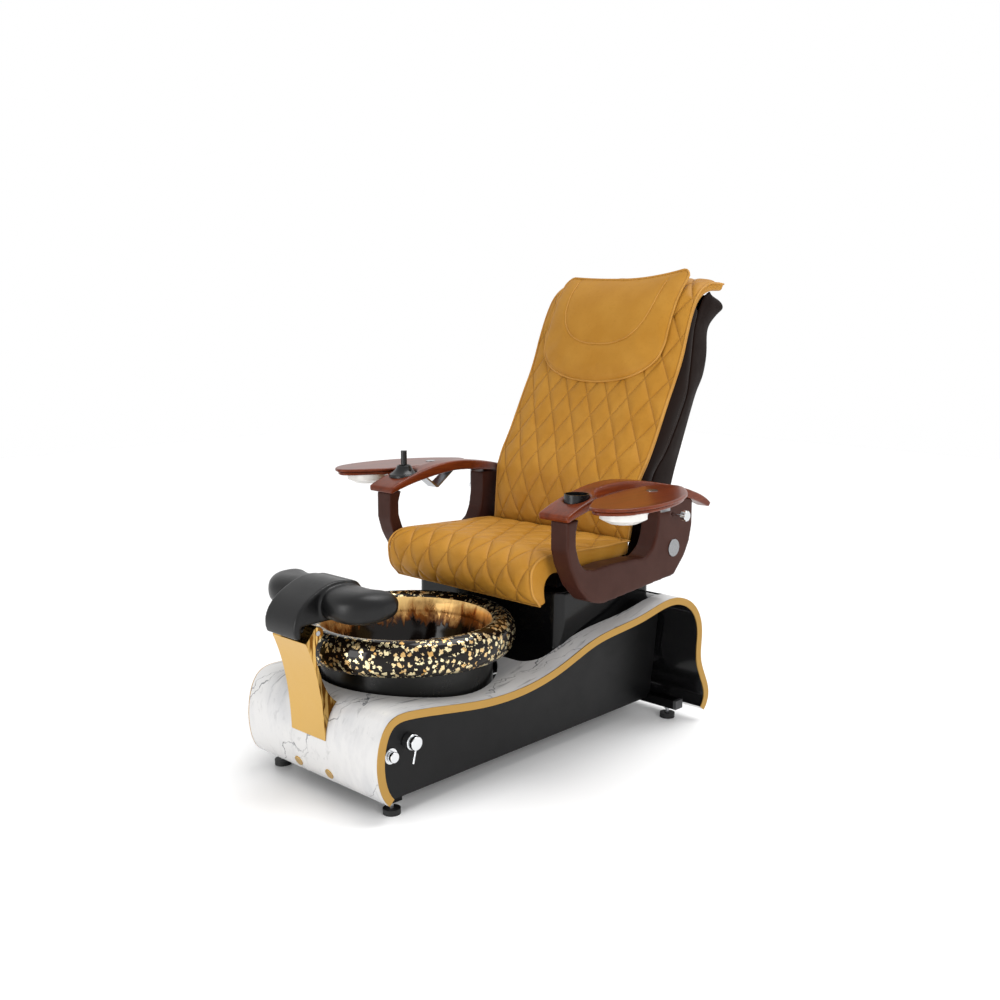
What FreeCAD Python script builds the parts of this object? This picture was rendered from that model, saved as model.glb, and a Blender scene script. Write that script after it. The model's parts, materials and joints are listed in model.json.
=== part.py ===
import FreeCAD
import Part
import math
import os
import Sketcher
from FreeCAD import Matrix, Placement, Rotation, Vector

# Pedicure spa chair, in millimetres. X points to the sitter's left, the chair faces -Y, Z is up.
# The origin is on the floor under the middle of the whole chair.

doc = FreeCAD.newDocument("pedicure_spa_chair")
sheet = doc.addObject("Spreadsheet::Sheet", "Sizes")

driving_sizes = {
    # clearances
    "gap": 0.4,
    "pin_gap": 0.05,
    # wave panel: outline of its outer face, seen from the side
    "panel_thick": 20,
    "trim_thick": 3,
    "nose_half": 262,
    "tail_half": 408,
    "toe_y": -658,
    "toe_z": 44,
    "nose_y": -688,
    "nose_z": 175,
    "brow_y": -646,
    "brow_z": 257,
    "deck_y": -581,
    "deck_z": 264,
    "dip_y": -352,
    "dip_z": 243,
    "climb_y": -185,
    "climb_z": 262,
    "rise_y": -97,
    "rise_z": 292,
    "knee_y": -7,
    "knee_z": 329,
    "slope_y": 185,
    "slope_z": 368,
    "crest_y": 320,
    "crest_z": 392,
    "turn_y": 393,
    "turn_z": 355,
    "back_y": 424,
    "back_z": 281,
    "waist_y": 424,
    "waist_z": 189,
    "bulge_y": 460,
    "bulge_z": 84,
    "heel_y": 442,
    "heel_z": 32,
    # feet and frame
    "foot_radius": 22,
    "foot_thick": 14,
    "stem_radius": 5,
    "nut_radius": 9,
    "nut_thick": 7,
    "front_foot_x": 221,
    "front_foot_y": -614,
    "rear_foot_x": 310,
    "rear_foot_y": 392,
    "tube_wide": 34,
    "tube_high": 26,
    "frame_z": 34,
    "rail_x": 195,
    "front_bar_half": 240,
    "rear_bar_half": 352,
    "end_cap": 10,
    "post_wide": 30,
    "rear_post_y": 330,
    "front_post_y": -40,
    # side skirts
    "skirt_thick": 6,
    "skirt_low": 50,
    "skirt_front_half": 252,
    "skirt_rear_half": 244,
    "skirt_rear_top_half": 288,
    "skirt_end_y": 386,
    # foot bath
    "bath_y": -362,
    "ring_radius": 228,
    "ring_wall": 6,
    "ring_top": 316,
    "hole_gap": 12,
    "rim_radius": 279,
    "rim_inner": 222,
    "rim_top": 393,
    "rim_low": 316,
    "bowl_floor": 172,
    "bowl_floor_radius": 120,
    "bowl_wall": 10,
    "bowl_waist": 188,
    "bowl_waist_z": 262,
    "drain_radius": 20,
    "drain_flange": 30,
    "jet_angle": 110,
    "jet_z": 262,
    "jet_radius": 25,
    "jet_cap_radius": 34,
    # moulded tray and plinth
    "tray_recess": 5,
    "tray_depth": 26,
    "tray_lip": 14,
    "tray_front_y": -150,
    "tray_rear_y": 352,
    "tray_front_half": 256,
    "tray_rear_half": 338,
    "tray_front_corner": 70,
    "tray_rear_corner": 40,
    "plinth_half": 278,
    "plinth_front_y": -72,
    "plinth_rear_y": 338,
    "plinth_corner": 28,
    "plinth_top": 455,
    "plinth_low": 250,
    "plinth_wall": 8,
    # footrest
    "post_half": 68,
    "post_foot_y": -692,
    "post_foot_z": 162,
    "post_shin_y": -702,
    "post_shin_z": 280,
    "post_neck_y": -716,
    "post_neck_z": 346,
    "post_top_y": -741,
    "post_top_z": 416,
    "post_heel_y": -624,
    "post_heel_z": 236,
    "hinge_y": -704,
    "hinge_z": 436,
    "hinge_pin": 6,
    "hinge_block_half": 30,
    "hinge_block_radius": 18,
    "pad_half": 207,
    "pad_y": -628,
    "pad_z": 500,
    "pad_deep": 65,
    "pad_high": 41,
    "pad_sweep": 30,
    "band_half": 62,
    "band_front_y": -765,
    "band_low": 428,
    "band_under": 458,
    "band_flap": 15,
    "band_crest_z": 549,
    "band_rear_y": -558,
    # controls on the right skirt
    "mixer_y": -588,
    "mixer_z": 186,
    "mixer_radius": 20,
    "mixer_reach": 22,
    "mixer_knob_radius": 17,
    "mixer_knob_thick": 12,
    "mixer_spindle": 5,
    "lever_radius": 2.5,
    "lever_long": 34,
    "drain_knob_y": -646,
    "drain_knob_z": 164,
    "bezel_radius": 19,
    "bezel_thick": 7,
    "drain_knob_radius": 13,
    "drain_knob_thick": 14,
    # gold caps on the toe
    "cap_radius": 14,
    "cap_thick": 4,
    "cap_x": 62,
    "cap_z": 72,
    # seat
    "slide_rail_x": 180,
    "slide_rail_wide": 30,
    "slide_rail_high": 12,
    "slide_rail_front": -50,
    "slide_rail_rear": 325,
    "seat_tube": 28,
    "seat_travel": 100,
    "seat_half": 280,
    "seat_front_y": -180,
    "seat_rear_y": 232,
    "seat_low": 512,
    "seat_top": 566,
    "seat_lip_z": 432,
    "seat_lip_thick": 40,
    "pan_half": 262,
    "pan_wall": 6,
    "actuator_radius": 20,
    "rod_radius": 9,
    # pivots for the back and the arms
    "pivot_y": 315,
    "pivot_z": 535,
    "pivot_radius": 10,
    "pivot_plate_x": 288,
    "pivot_plate_thick": 7,
    "pivot_plate_radius": 30,
    # back
    "back_half_low": 262,
    "back_half": 283,
    "back_half_top": 270,
    "back_low_y": 249,
    "back_low_z": 545,
    "lumbar_y": 266,
    "lumbar_z": 690,
    "waist_back_y": 288,
    "waist_back_z": 745,
    "mid_y": 334,
    "mid_z": 822,
    "chest_y": 397,
    "chest_z": 941,
    "shoulder_y": 455,
    "shoulder_z": 1056,
    "neck_y": 484,
    "neck_z": 1132,
    "head_y": 530,
    "head_z": 1224,
    "roll_y": 560,
    "roll_z": 1253,
    "curl_y": 604,
    "curl_z": 1273,
    "tip_y": 686,
    "tip_z": 1275,
    "pad_crown": 14,
    "pad_side": 20,
    "gusset_half": 272,
    "gusset_wall": 8,
    "seam_low_y": 338,
    "seam_low_z": 566,
    "seam_hip_y": 352,
    "seam_hip_z": 690,
    "seam_mid_y": 424,
    "seam_mid_z": 800,
    "seam_chest_y": 492,
    "seam_chest_z": 900,
    "seam_neck_y": 540,
    "seam_neck_z": 1073,
    "seam_top_y": 560,
    "seam_top_z": 1176,
    "back_plate": 7,
    "back_plate_wide": 34,
    "back_plate_inset": 7,
    "back_boss": 22,
    "shell_half": 270,
    "shell_rear_half": 222,
    "shell_wall": 6,
    "shell_low_y": 468,
    "shell_low_z": 520,
    "shell_hip_y": 522,
    "shell_hip_z": 684,
    "shell_mid_y": 592,
    "shell_mid_z": 850,
    "shell_chest_y": 668,
    "shell_chest_z": 990,
    "shell_neck_y": 690,
    "shell_neck_z": 1060,
    "shell_nape_y": 692,
    "shell_nape_z": 1134,
    "shell_lip_y": 774,
    "shell_lip_z": 1204,
    "shell_top_y": 650,
    "shell_top_z": 1250,
    "pillow_half": 246,
    "pillow_low": 984,
    "pillow_top": 1308,
    "pillow_dip": 20,
    "pillow_tip_y": 513,
    "pillow_thick": 34,
    # massage mechanism
    "massage_rail_x": 120,
    "massage_rail_radius": 9,
    "spine_low_y": 289,
    "spine_low_z": 727,
    "spine_high_y": 496,
    "spine_high_z": 1124,
    "massage_bar": 20,
    "massage_offset": 66,
    "massage_start": 60,
    "massage_travel": 240,
    "carriage_half": 145,
    "carriage_long": 60,
    "carriage_deep": 26,
    "axle_ahead": 28,
    "axle_offset": 46,
    "axle_radius": 4,
    "roller_radius": 23,
    "roller_near": 34,
    "roller_far": 66,
    # arms
    "arm_inner": 313,
    "arm_outer": 371,
    "arm_front_y": -145,
    "arm_rear_y": 406,
    "arm_low_front": 425,
    "arm_low_rear": 455,
    "arm_heel_y": 340,
    "window_front_y": -110,
    "window_rear_y": 243,
    "window_low": 530,
    "cap_front_y": -165,
    "cap_rear_y": 500,
    "cap_front_z": 666,
    "cap_arch_y": 110,
    "cap_arch_z": 713,
    "cap_tail_z": 636,
    "cap_deep": 30,
    "cap_inner": 284,
    "cap_outer": 386,
    "cap_narrow": 342,
    "cap_tail": 376,
    "arm_lift": 70,
    "badge_radius": 25,
    "badge_thick": 3,
    "cup_x": 335,
    "cup_y": -69,
    "cup_radius": 33,
    "cup_wall": 3,
    "cup_low": 704,
    "cup_top": 730,
    "stick_base": 38,
    "stick_low": 705,
    "stick_dome": 30,
    "stick_pivot": 17,
    "stick_radius": 9,
    "stick_top": 785,
    # trays and lids
    "lid_x": 462,
    "lid_y": 35,
    "lid_long": 222,
    "lid_wide": 98,
    "lid_tilt": 13,
    "lid_low": 716,
    "lid_thick": 15,
    "board_margin": 7,
    "board_low": 701,
    "dish_along": 118,
    "dish_across": 6,
    "dish_radius": 60,
    "dish_wall": 3,
    "dish_low": 668,
    "tray_pin_along": -192,
    "tray_pin_across": -10,
    "tray_pin_radius": 6,
    "tray_boss_radius": 16,
    "hinge_flat": -80,
    "lid_axis_radius": 3,
    "lid_knuckle_radius": 5,
    "lid_knuckle": 17,
    "bracket_thick": 4,
    "emblem_radius": 15,
    "emblem_thick": 1.5,
    # lock knobs
    "lock_y": 305,
    "lock_z": 633,
    "lock_rod": 4,
    "lock_bore_deep": 40,
    "lock_reach": 36,
    "lock_knob_radius": 15,
    "lock_knob_thick": 16,
}

for row, (alias, value) in enumerate(driving_sizes.items(), start=1):
    sheet.set("A%d" % row, alias)
    sheet.set("B%d" % row, str(value))
    sheet.setAlias("B%d" % row, alias)
doc.recompute()


class Size:
    """A number from the sheet, or made from such numbers, with the expression that gives it."""

    def __init__(self, value, text):
        self.value = float(value)
        self.text = text

    def _join(self, other, sign, value, swap=False):
        text = other.text if isinstance(other, Size) else repr(other)
        pair = (text, self.text) if swap else (self.text, text)
        return Size(value, "(%s %s %s)" % (pair[0], sign, pair[1]))

    def __add__(self, other):
        return self._join(other, "+", self.value + float(other))

    def __radd__(self, other):
        return self._join(other, "+", self.value + float(other), swap=True)

    def __sub__(self, other):
        return self._join(other, "-", self.value - float(other))

    def __rsub__(self, other):
        return self._join(other, "-", float(other) - self.value, swap=True)

    def __mul__(self, other):
        return self._join(other, "*", self.value * float(other))

    def __rmul__(self, other):
        return self._join(other, "*", self.value * float(other), swap=True)

    def __truediv__(self, other):
        return self._join(other, "/", self.value / float(other))

    def __neg__(self):
        return Size(-self.value, "(0 - %s)" % self.text)

    def __float__(self):
        return self.value


class Bound:
    """Gives each size of the sheet as a Size, for what is bound with an expression."""

    def __getattr__(self, alias):
        return Size(getattr(sheet, alias), "Sizes." + alias)


class Plain:
    """Gives each size of the sheet as a plain number, for shapes made directly."""

    def __getattr__(self, alias):
        return float(getattr(sheet, alias))


b = Bound()
n = Plain()
nodes = {}


def bind(thing, name, value):
    """Set a property from a Size by expression, or from a plain number."""
    if isinstance(value, Size):
        thing.setExpression(name, value.text)
    else:
        setattr(thing, name, value)


def place(thing, x=0.0, y=0.0, z=0.0, turn=None):
    """Put an object at a position whose coordinates may be bound to the sheet."""
    spot = Vector(float(x), float(y), float(z))
    thing.Placement = Placement(spot, turn or Rotation())
    for axis, value in (("x", x), ("y", y), ("z", z)):
        if isinstance(value, Size):
            thing.setExpression(".Placement.Base." + axis, value.text)
    return thing


ALONG_X = Rotation(Vector(0, 1, 0), 90)
ALONG_MINUS_X = Rotation(Vector(0, 1, 0), -90)
ALONG_Y = Rotation(Vector(1, 0, 0), -90)
ALONG_MINUS_Y = Rotation(Vector(1, 0, 0), 90)


def cylinder(name, radius, height, x=0.0, y=0.0, z=0.0, turn=None):
    """A round bar that starts at the given point and runs along Z, or as turned."""
    bar = doc.addObject("Part::Cylinder", name)
    bind(bar, "Radius", radius)
    bind(bar, "Height", height)
    return place(bar, x, y, z, turn)


def box(name, x, y, z, wide, deep, high):
    """A box from its lowest corner and its sizes along X, Y and Z."""
    block = doc.addObject("Part::Box", name)
    bind(block, "Length", wide)
    bind(block, "Width", deep)
    bind(block, "Height", high)
    return place(block, x, y, z)


def fuse(name, things):
    """One solid from several that touch or overlap."""
    whole = doc.addObject("Part::MultiFuse", name)
    whole.Shapes = things
    whole.Refine = True
    return whole


def cut(name, base, tool):
    """The base with the tool's space taken out."""
    rest = doc.addObject("Part::Cut", name)
    rest.Base = base
    rest.Tool = tool
    return rest


def group(name, things):
    """Separate solids that share one node."""
    several = doc.addObject("Part::Compound", name)
    several.Links = things
    return several


def direct(name, shape):
    """A shape made with the functions below, kept as an object of the document."""
    thing = doc.addObject("Part::Feature", name)
    thing.Shape = shape
    return thing


def node(name, thing):
    """Name a finished sub-part."""
    thing.Label = name
    nodes[name] = thing
    return thing


def mirrored(shape):
    """The same shape on the other side of the chair."""
    return shape.mirror(Vector(0, 0, 0), Vector(1, 0, 0))


# Sketched bodies: an outline of straight sides and arcs, each corner bound to the sheet


def draw_outline(sketch, corners):
    """Draw a closed outline. A corner is (x, y, bend): bend is None where the side to the next corner
    is straight, or the radius of its arc, positive where the arc swells to the left of its way."""
    count = len(corners)
    ends = []
    for index, (x, y, bend) in enumerate(corners):
        far = corners[(index + 1) % count]
        start = Vector(float(x), float(y), 0)
        stop = Vector(float(far[0]), float(far[1]), 0)
        if bend is None:
            side = sketch.addGeometry(Part.LineSegment(start, stop), False)
            ends.append((side, 1, 2))
            continue
        radius = abs(float(bend))
        chord = stop - start
        left = Vector(-chord.y, chord.x, 0).normalize()
        rise = math.sqrt(max(radius ** 2 - (chord.Length / 2) ** 2, 0.0))
        swell = 1 if float(bend) > 0 else -1
        centre = (start + stop) * 0.5 - left * (rise * swell)
        first, last = (stop, start) if swell > 0 else (start, stop)
        begin = math.atan2(first.y - centre.y, first.x - centre.x)
        end = math.atan2(last.y - centre.y, last.x - centre.x)
        if end < begin:
            end += 2 * math.pi
        circle = Part.Circle(centre, Vector(0, 0, 1), radius)
        side = sketch.addGeometry(Part.ArcOfCircle(circle, begin, end), False)
        mark = sketch.addConstraint(Sketcher.Constraint("Radius", side, radius))
        if isinstance(bend, Size):
            size = bend if swell > 0 else -bend
            sketch.setExpression("Constraints[%d]" % mark, size.text)
        ends.append((side, 2, 1) if swell > 0 else (side, 1, 2))
    for index, (x, y, bend) in enumerate(corners):
        side, begin_mark, end_mark = ends[index]
        before = ends[index - 1]
        sketch.addConstraint(Sketcher.Constraint("Coincident", before[0], before[2], side, begin_mark))
        for kind, axis, value in (("DistanceX", -2, x), ("DistanceY", -1, y)):
            if not isinstance(value, Size) and value == 0:
                sketch.addConstraint(Sketcher.Constraint("PointOnObject", side, begin_mark, axis))
                continue
            held = sketch.addConstraint(Sketcher.Constraint(kind, side, begin_mark, float(value)))
            if isinstance(value, Size):
                sketch.setExpression("Constraints[%d]" % held, value.text)


def body_with_sketch(name, plane, corners):
    """A body with one sketch on an origin plane of its own."""
    body = doc.addObject("PartDesign::Body", name)
    sketch = body.newObject("Sketcher::SketchObject", name + "_outline")
    origin_plane = [part for part in body.Origin.OriginFeatures if part.Role == plane][0]
    sketch.AttachmentSupport = [(origin_plane, "")]
    sketch.MapMode = "FlatFace"
    draw_outline(sketch, corners)
    return body, sketch


def revolved(name, corners):
    """A body turned about its own Z axis from an outline in radius and height."""
    body, sketch = body_with_sketch(name, "XZ_Plane", corners)
    turn = body.newObject("PartDesign::Revolution", name + "_turn")
    turn.Profile = sketch
    turn.ReferenceAxis = (sketch, ["V_Axis"])
    turn.Angle = 360
    sketch.Visibility = False
    return body


def padded(name, plane, corners, thick):
    """A body padded evenly to both sides of an origin plane of its own."""
    body, sketch = body_with_sketch(name, plane, corners)
    pad = body.newObject("PartDesign::Pad", name + "_pad")
    pad.Profile = sketch
    pad.SideType = "Symmetric"
    bind(pad, "Length", thick)
    sketch.Visibility = False
    return body


# Shapes made directly: outlines with rounded corners, splines, lofts


def rounded_wire(points, radii):
    """A closed wire through 3D points in one plane, each corner rounded to its radius."""
    count = len(points)
    cuts = []
    for index in range(count):
        here = points[index]
        to_last = (points[index - 1] - here).normalize()
        to_next = (points[(index + 1) % count] - here).normalize()
        radius = radii[index]
        half = to_last.getAngle(to_next) / 2
        if radius <= 0:
            cuts.append((here, None, here))
            continue
        reach = radius / math.tan(half)
        middle = (to_last + to_next).normalize()
        deep = radius / math.sin(half) - radius
        cuts.append((here + to_last * reach, here + middle * deep, here + to_next * reach))
    edges = []
    for index in range(count):
        begin, middle, end = cuts[index]
        if middle is not None:
            edges.append(Part.Arc(begin, middle, end).toShape())
        following = cuts[(index + 1) % count][0]
        if (following - end).Length > 1e-6:
            edges.append(Part.LineSegment(end, following).toShape())
    return Part.Wire(edges)


def spline_edge(points):
    """A smooth edge through the points."""
    curve = Part.BSplineCurve()
    curve.interpolate(points)
    return curve.toShape()


def offset_points(points, distance, count):
    """Points at a distance to the right of a smooth line through points in a Y-Z plane."""
    curve = Part.BSplineCurve()
    curve.interpolate(points)
    shifted = []
    for index in range(count + 1):
        spot = curve.FirstParameter + (curve.LastParameter - curve.FirstParameter) * index / count
        along = curve.tangent(spot)[0]
        side = Vector(0, along.z, -along.y)
        shifted.append(curve.value(spot) + side * distance)
    return shifted


def prism(wire, way):
    """A solid from a flat closed wire."""
    return Part.Face(wire).extrude(way)


def side_points(pairs, x=0.0):
    """Points of a side view from pairs of Y and Z."""
    return [Vector(x, y, z) for y, z in pairs]


def round_bar(radius, start, stop):
    """A round bar between two points."""
    way = stop - start
    return Part.makeCylinder(radius, way.Length, start, way)


# Wave panel: a bent laminated board, wider to the rear, with a gold band along each edge

wave_line = side_points([
    (n.toe_y, n.toe_z), (n.nose_y, n.nose_z), (n.brow_y, n.brow_z), (n.deck_y, n.deck_z),
    (n.dip_y, n.dip_z), (n.climb_y, n.climb_z), (n.rise_y, n.rise_z), (n.knee_y, n.knee_z),
    (n.slope_y, n.slope_z), (n.crest_y, n.crest_z), (n.turn_y, n.turn_z), (n.back_y, n.back_z),
    (n.waist_y, n.waist_z), (n.bulge_y, n.bulge_z), (n.heel_y, n.heel_z),
])
WIDE = n.tail_half + 100


def wave_slab(upper, lower):
    """The space between two depths below the wave's outer face, over the whole width."""
    fine = 60
    top = offset_points(wave_line, upper, fine)
    low = offset_points(wave_line, lower, fine)
    edges = [
        spline_edge(top),
        Part.LineSegment(top[-1], low[-1]).toShape(),
        spline_edge(low),
        Part.LineSegment(low[0], top[0]).toShape(),
    ]
    slab = prism(Part.Wire(Part.__sortEdges__(edges)), Vector(2 * WIDE, 0, 0))
    slab.translate(Vector(-WIDE, 0, 0))
    return slab


def under_wave(depth, low, rear):
    """All the space below the wave at a depth under its outer face, down to a height and to a rear line."""
    line = [point for point in offset_points(wave_line, depth, 60)]
    begin = line[0]
    kept = [point for point in line if point.y < rear - 1 or point.z > n.waist_z]
    kept = [point for point in kept if point.y < rear - 1]
    last = kept[-1]
    edges = [
        spline_edge(kept),
        Part.LineSegment(last, Vector(0, rear, last.z - 10)).toShape(),
        Part.LineSegment(Vector(0, rear, last.z - 10), Vector(0, rear, low)).toShape(),
        Part.LineSegment(Vector(0, rear, low), Vector(0, begin.y + 2, low)).toShape(),
        Part.LineSegment(Vector(0, begin.y + 2, low), begin).toShape(),
    ]
    space = prism(Part.Wire(edges), Vector(2 * WIDE, 0, 0))
    space.translate(Vector(-WIDE, 0, 0))
    return space


def plan_half(y, inset=0.0):
    """Half the panel's width at a place along the chair."""
    share = (y - n.nose_y) / (n.bulge_y - n.nose_y)
    return n.nose_half + (n.tail_half - n.nose_half) * share - inset


def plan_prism(inset):
    """The panel's outline in plan, drawn in from its edge, over the whole height."""
    front = n.nose_y - 60
    rear = n.bulge_y + 60
    corners = [
        Vector(-plan_half(front, inset), front, 0), Vector(plan_half(front, inset), front, 0),
        Vector(plan_half(rear, inset), rear, 0), Vector(-plan_half(rear, inset), rear, 0),
    ]
    return prism(Part.makePolygon(corners + corners[:1]), Vector(0, 0, n.crest_z + 100))


def tray_space(grow, low, high):
    """The rear opening's outline, grown to each side, between two heights."""
    corners = [
        Vector(-n.tray_front_half - grow, n.tray_front_y - grow, low),
        Vector(n.tray_front_half + grow, n.tray_front_y - grow, low),
        Vector(n.tray_rear_half + grow, n.tray_rear_y + grow, low),
        Vector(-n.tray_rear_half - grow, n.tray_rear_y + grow, low),
    ]
    front = n.tray_front_corner + grow
    rear = n.tray_rear_corner + grow
    return prism(rounded_wire(corners, [front, front, rear, rear]), Vector(0, 0, high - low))


bath_centre = Vector(0, n.bath_y, 0)
hole_radius = n.ring_radius + n.hole_gap
bath_hole = Part.makeCylinder(hole_radius, n.crest_z + 100, bath_centre)
board = wave_slab(0, n.panel_thick)
panel = board.common(plan_prism(n.trim_thick)).cut(bath_hole).cut(tray_space(0, 0, n.crest_z + 100))

# Two round caps sit in shallow seats on the toe
toe_curve = Part.BSplineCurve()
toe_curve.interpolate(wave_line)
toe_spot = toe_curve.FirstParameter
while toe_curve.value(toe_spot).z < n.cap_z:
    toe_spot += (toe_curve.LastParameter - toe_curve.FirstParameter) / 2000
toe_point = toe_curve.value(toe_spot)
toe_way = toe_curve.tangent(toe_spot)[0]
toe_out = Vector(0, -toe_way.z, toe_way.y)
cap_solids = []
for cap_side in (-1, 1):
    seat = toe_point + Vector(cap_side * n.cap_x, 0, 0) - toe_out * (n.cap_thick / 2)
    cap = Part.makeCylinder(n.cap_radius, n.cap_thick, seat, toe_out)
    panel = panel.cut(cap)
    cap_solids.append(cap.makeFillet(n.cap_thick / 4, [cap.Edges[0]]))
node("wave_panel", direct("wave_panel", panel))
node("gold_caps", direct("gold_caps", Part.makeCompound(cap_solids)))

edge_band = board.common(plan_prism(0)).cut(plan_prism(n.trim_thick))
for side_name, sign in (("left", 1), ("right", -1)):
    half_space = Part.makeBox(WIDE, 4 * WIDE, 2 * WIDE, Vector(0 if sign > 0 else -WIDE, -2 * WIDE, -WIDE))
    node("edge_trim_" + side_name, direct("edge_trim_" + side_name, edge_band.common(half_space)))

# Side skirts: thin moulded sides under the panel, leaning out a little to the rear top


def skirt(sign):
    """One side skirt."""
    front = n.nose_y - 40
    rear = n.bulge_y + 40
    top = n.crest_z + 40
    low = n.skirt_low - 30
    rings = []
    for y, low_half, top_half in (
        (front, n.skirt_front_half, n.skirt_front_half),
        (rear, n.skirt_rear_half, n.skirt_rear_top_half),
    ):
        outer_low = Vector(sign * low_half, y, low)
        outer_top = Vector(sign * top_half, y, top)
        inner_low = outer_low - Vector(sign * n.skirt_thick, 0, 0)
        inner_top = outer_top - Vector(sign * n.skirt_thick, 0, 0)
        rings.append(Part.makePolygon([outer_low, outer_top, inner_top, inner_low, outer_low]))
    wall = Part.makeLoft(rings, True, True)
    wall = wall.common(under_wave(n.tray_depth + n.gap, n.skirt_low, n.skirt_end_y))
    notch = Part.makeBox(2 * WIDE, 40, n.tube_high + n.gap, Vector(-WIDE, n.rear_foot_y - n.tube_wide / 2 - n.gap, n.frame_z))
    return wall.cut(notch)



# Steel frame under the panel, with levelling feet

half_wide = b.tube_wide / 2
rails = []
for sign, word in ((1, "left"), (-1, "right")):
    rails.append(box("rail_" + word, b.rail_x * sign - half_wide, b.front_foot_y,
                     b.frame_z, b.tube_wide, b.rear_foot_y - b.front_foot_y, b.tube_high))
    rails.append(box("front_post_" + word, b.rail_x * sign - b.post_wide / 2, b.front_post_y,
                     b.frame_z, b.post_wide, b.post_wide, b.plinth_top - b.plinth_wall - b.frame_z))
    rails.append(box("rear_post_" + word, b.rail_x * sign - b.post_wide / 2, b.rear_post_y - b.post_wide,
                     b.frame_z, b.post_wide, b.post_wide, b.plinth_top - b.plinth_wall - b.frame_z))
bars = [
    box("front_bar", -b.front_bar_half, b.front_foot_y - half_wide, b.frame_z,
        b.front_bar_half * 2, b.tube_wide, b.tube_high),
    box("rear_bar", b.end_cap - b.rear_bar_half, b.rear_foot_y - half_wide, b.frame_z,
        (b.rear_bar_half - b.end_cap) * 2, b.tube_wide, b.tube_high),
]
node("base_frame", fuse("base_frame", rails + bars))
caps = []
for sign, word in ((1, "left"), (-1, "right")):
    near = b.rear_bar_half * sign if sign < 0 else b.rear_bar_half - b.end_cap
    caps.append(box("bar_cap_" + word, near, b.rear_foot_y - half_wide, b.frame_z,
                    b.end_cap, b.tube_wide, b.tube_high))
node("crossbar_caps", group("crossbar_caps", caps))

feet = []
stems = []
foot_places = [(b.front_foot_x, b.front_foot_y), (b.rear_foot_x, b.rear_foot_y)]
foot_places += [(-x, y) for x, y in foot_places]
for count, (x, y) in enumerate(foot_places):
    feet.append(cylinder("foot_%d" % count, b.foot_radius, b.foot_thick, x, y, 0))
    stem = cylinder("stem_rod_%d" % count, b.stem_radius, b.frame_z - b.foot_thick, x, y, b.foot_thick)
    nut = cylinder("stem_nut_%d" % count, b.nut_radius, b.nut_thick, x, y, b.frame_z - b.nut_thick)
    stems.append(fuse("stem_%d" % count, [stem, nut]))
node("levelling_feet", group("levelling_feet", feet))
node("foot_stems", group("foot_stems", stems))

# Foot bath: a tub ring that carries a rolled glass bowl, with a drain and a jet

ring = revolved("tub_ring_wall", [
    (b.ring_radius - b.ring_wall, b.frame_z + b.tube_high, None),
    (b.ring_radius, b.frame_z + b.tube_high, None),
    (b.ring_radius, b.ring_top, None),
    (b.ring_radius - b.ring_wall, b.ring_top, None),
])
place(ring, 0, b.bath_y, 0)
node("tub_ring", ring)


def bowl_section():
    """Half the bowl's section: inside line down from the rim, then the outside line back up."""
    wall = n.bowl_wall
    rim_mid = (n.rim_top + n.rim_low) / 2
    inside = [
        Vector(n.rim_inner, 0, n.rim_top - 6), Vector(n.rim_inner - 8, 0, n.rim_low + 30),
        Vector(n.bowl_waist, 0, n.bowl_waist_z), Vector(n.bowl_floor_radius + 30, 0, n.bowl_floor + 28),
        Vector(n.bowl_floor_radius, 0, n.bowl_floor + 8), Vector(n.drain_radius + n.gap, 0, n.bowl_floor),
    ]
    outside = [
        Vector(n.drain_radius + n.gap, 0, n.bowl_floor - wall),
        Vector(n.bowl_floor_radius + 6, 0, n.bowl_floor + 8 - wall),
        Vector(n.bowl_floor_radius + 40, 0, n.bowl_floor + 26 - wall / 2),
        Vector(n.bowl_waist + wall, 0, n.bowl_waist_z - wall / 2),
        Vector(n.rim_inner - 8, 0, n.rim_low - 12),
        Vector(n.ring_radius - n.ring_wall - 2, 0, n.rim_low),
    ]
    under_rim = Vector(n.rim_radius - 24, 0, n.rim_low)
    belly = Vector(n.rim_radius, 0, rim_mid + 2)
    crown = Vector(n.rim_inner + 18, 0, n.rim_top)
    edges = [
        spline_edge(inside),
        Part.LineSegment(inside[-1], outside[0]).toShape(),
        spline_edge(outside),
        Part.LineSegment(outside[-1], under_rim).toShape(),
        Part.Arc(under_rim, Vector(n.rim_radius - 7, 0, n.rim_low + 11), belly).toShape(),
        Part.Arc(belly, Vector(n.rim_radius - 17, 0, n.rim_top - 15), crown).toShape(),
        Part.Arc(crown, Vector(n.rim_inner + 6, 0, n.rim_top - 1.5), inside[0]).toShape(),
    ]
    return Part.Wire(edges)


jet_way = Vector(math.cos(math.radians(n.jet_angle)), math.sin(math.radians(n.jet_angle)), 0)
jet_base = bath_centre + Vector(0, 0, n.jet_z)


def jet_bar(radius, near, far):
    """A round bar on the jet's axis between two distances from the bath's centre."""
    return round_bar(radius, jet_base + jet_way * near, jet_base + jet_way * far)


bowl = Part.Face(bowl_section()).revolve(Vector(0, 0, 0), Vector(0, 0, 1), 360)
bowl.translate(bath_centre)
jet_far = n.ring_radius - n.ring_wall - 2
bowl = bowl.cut(jet_bar(n.jet_radius + n.gap, n.bowl_waist - 40, jet_far))
node("foot_bowl", direct("foot_bowl", bowl))

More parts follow.
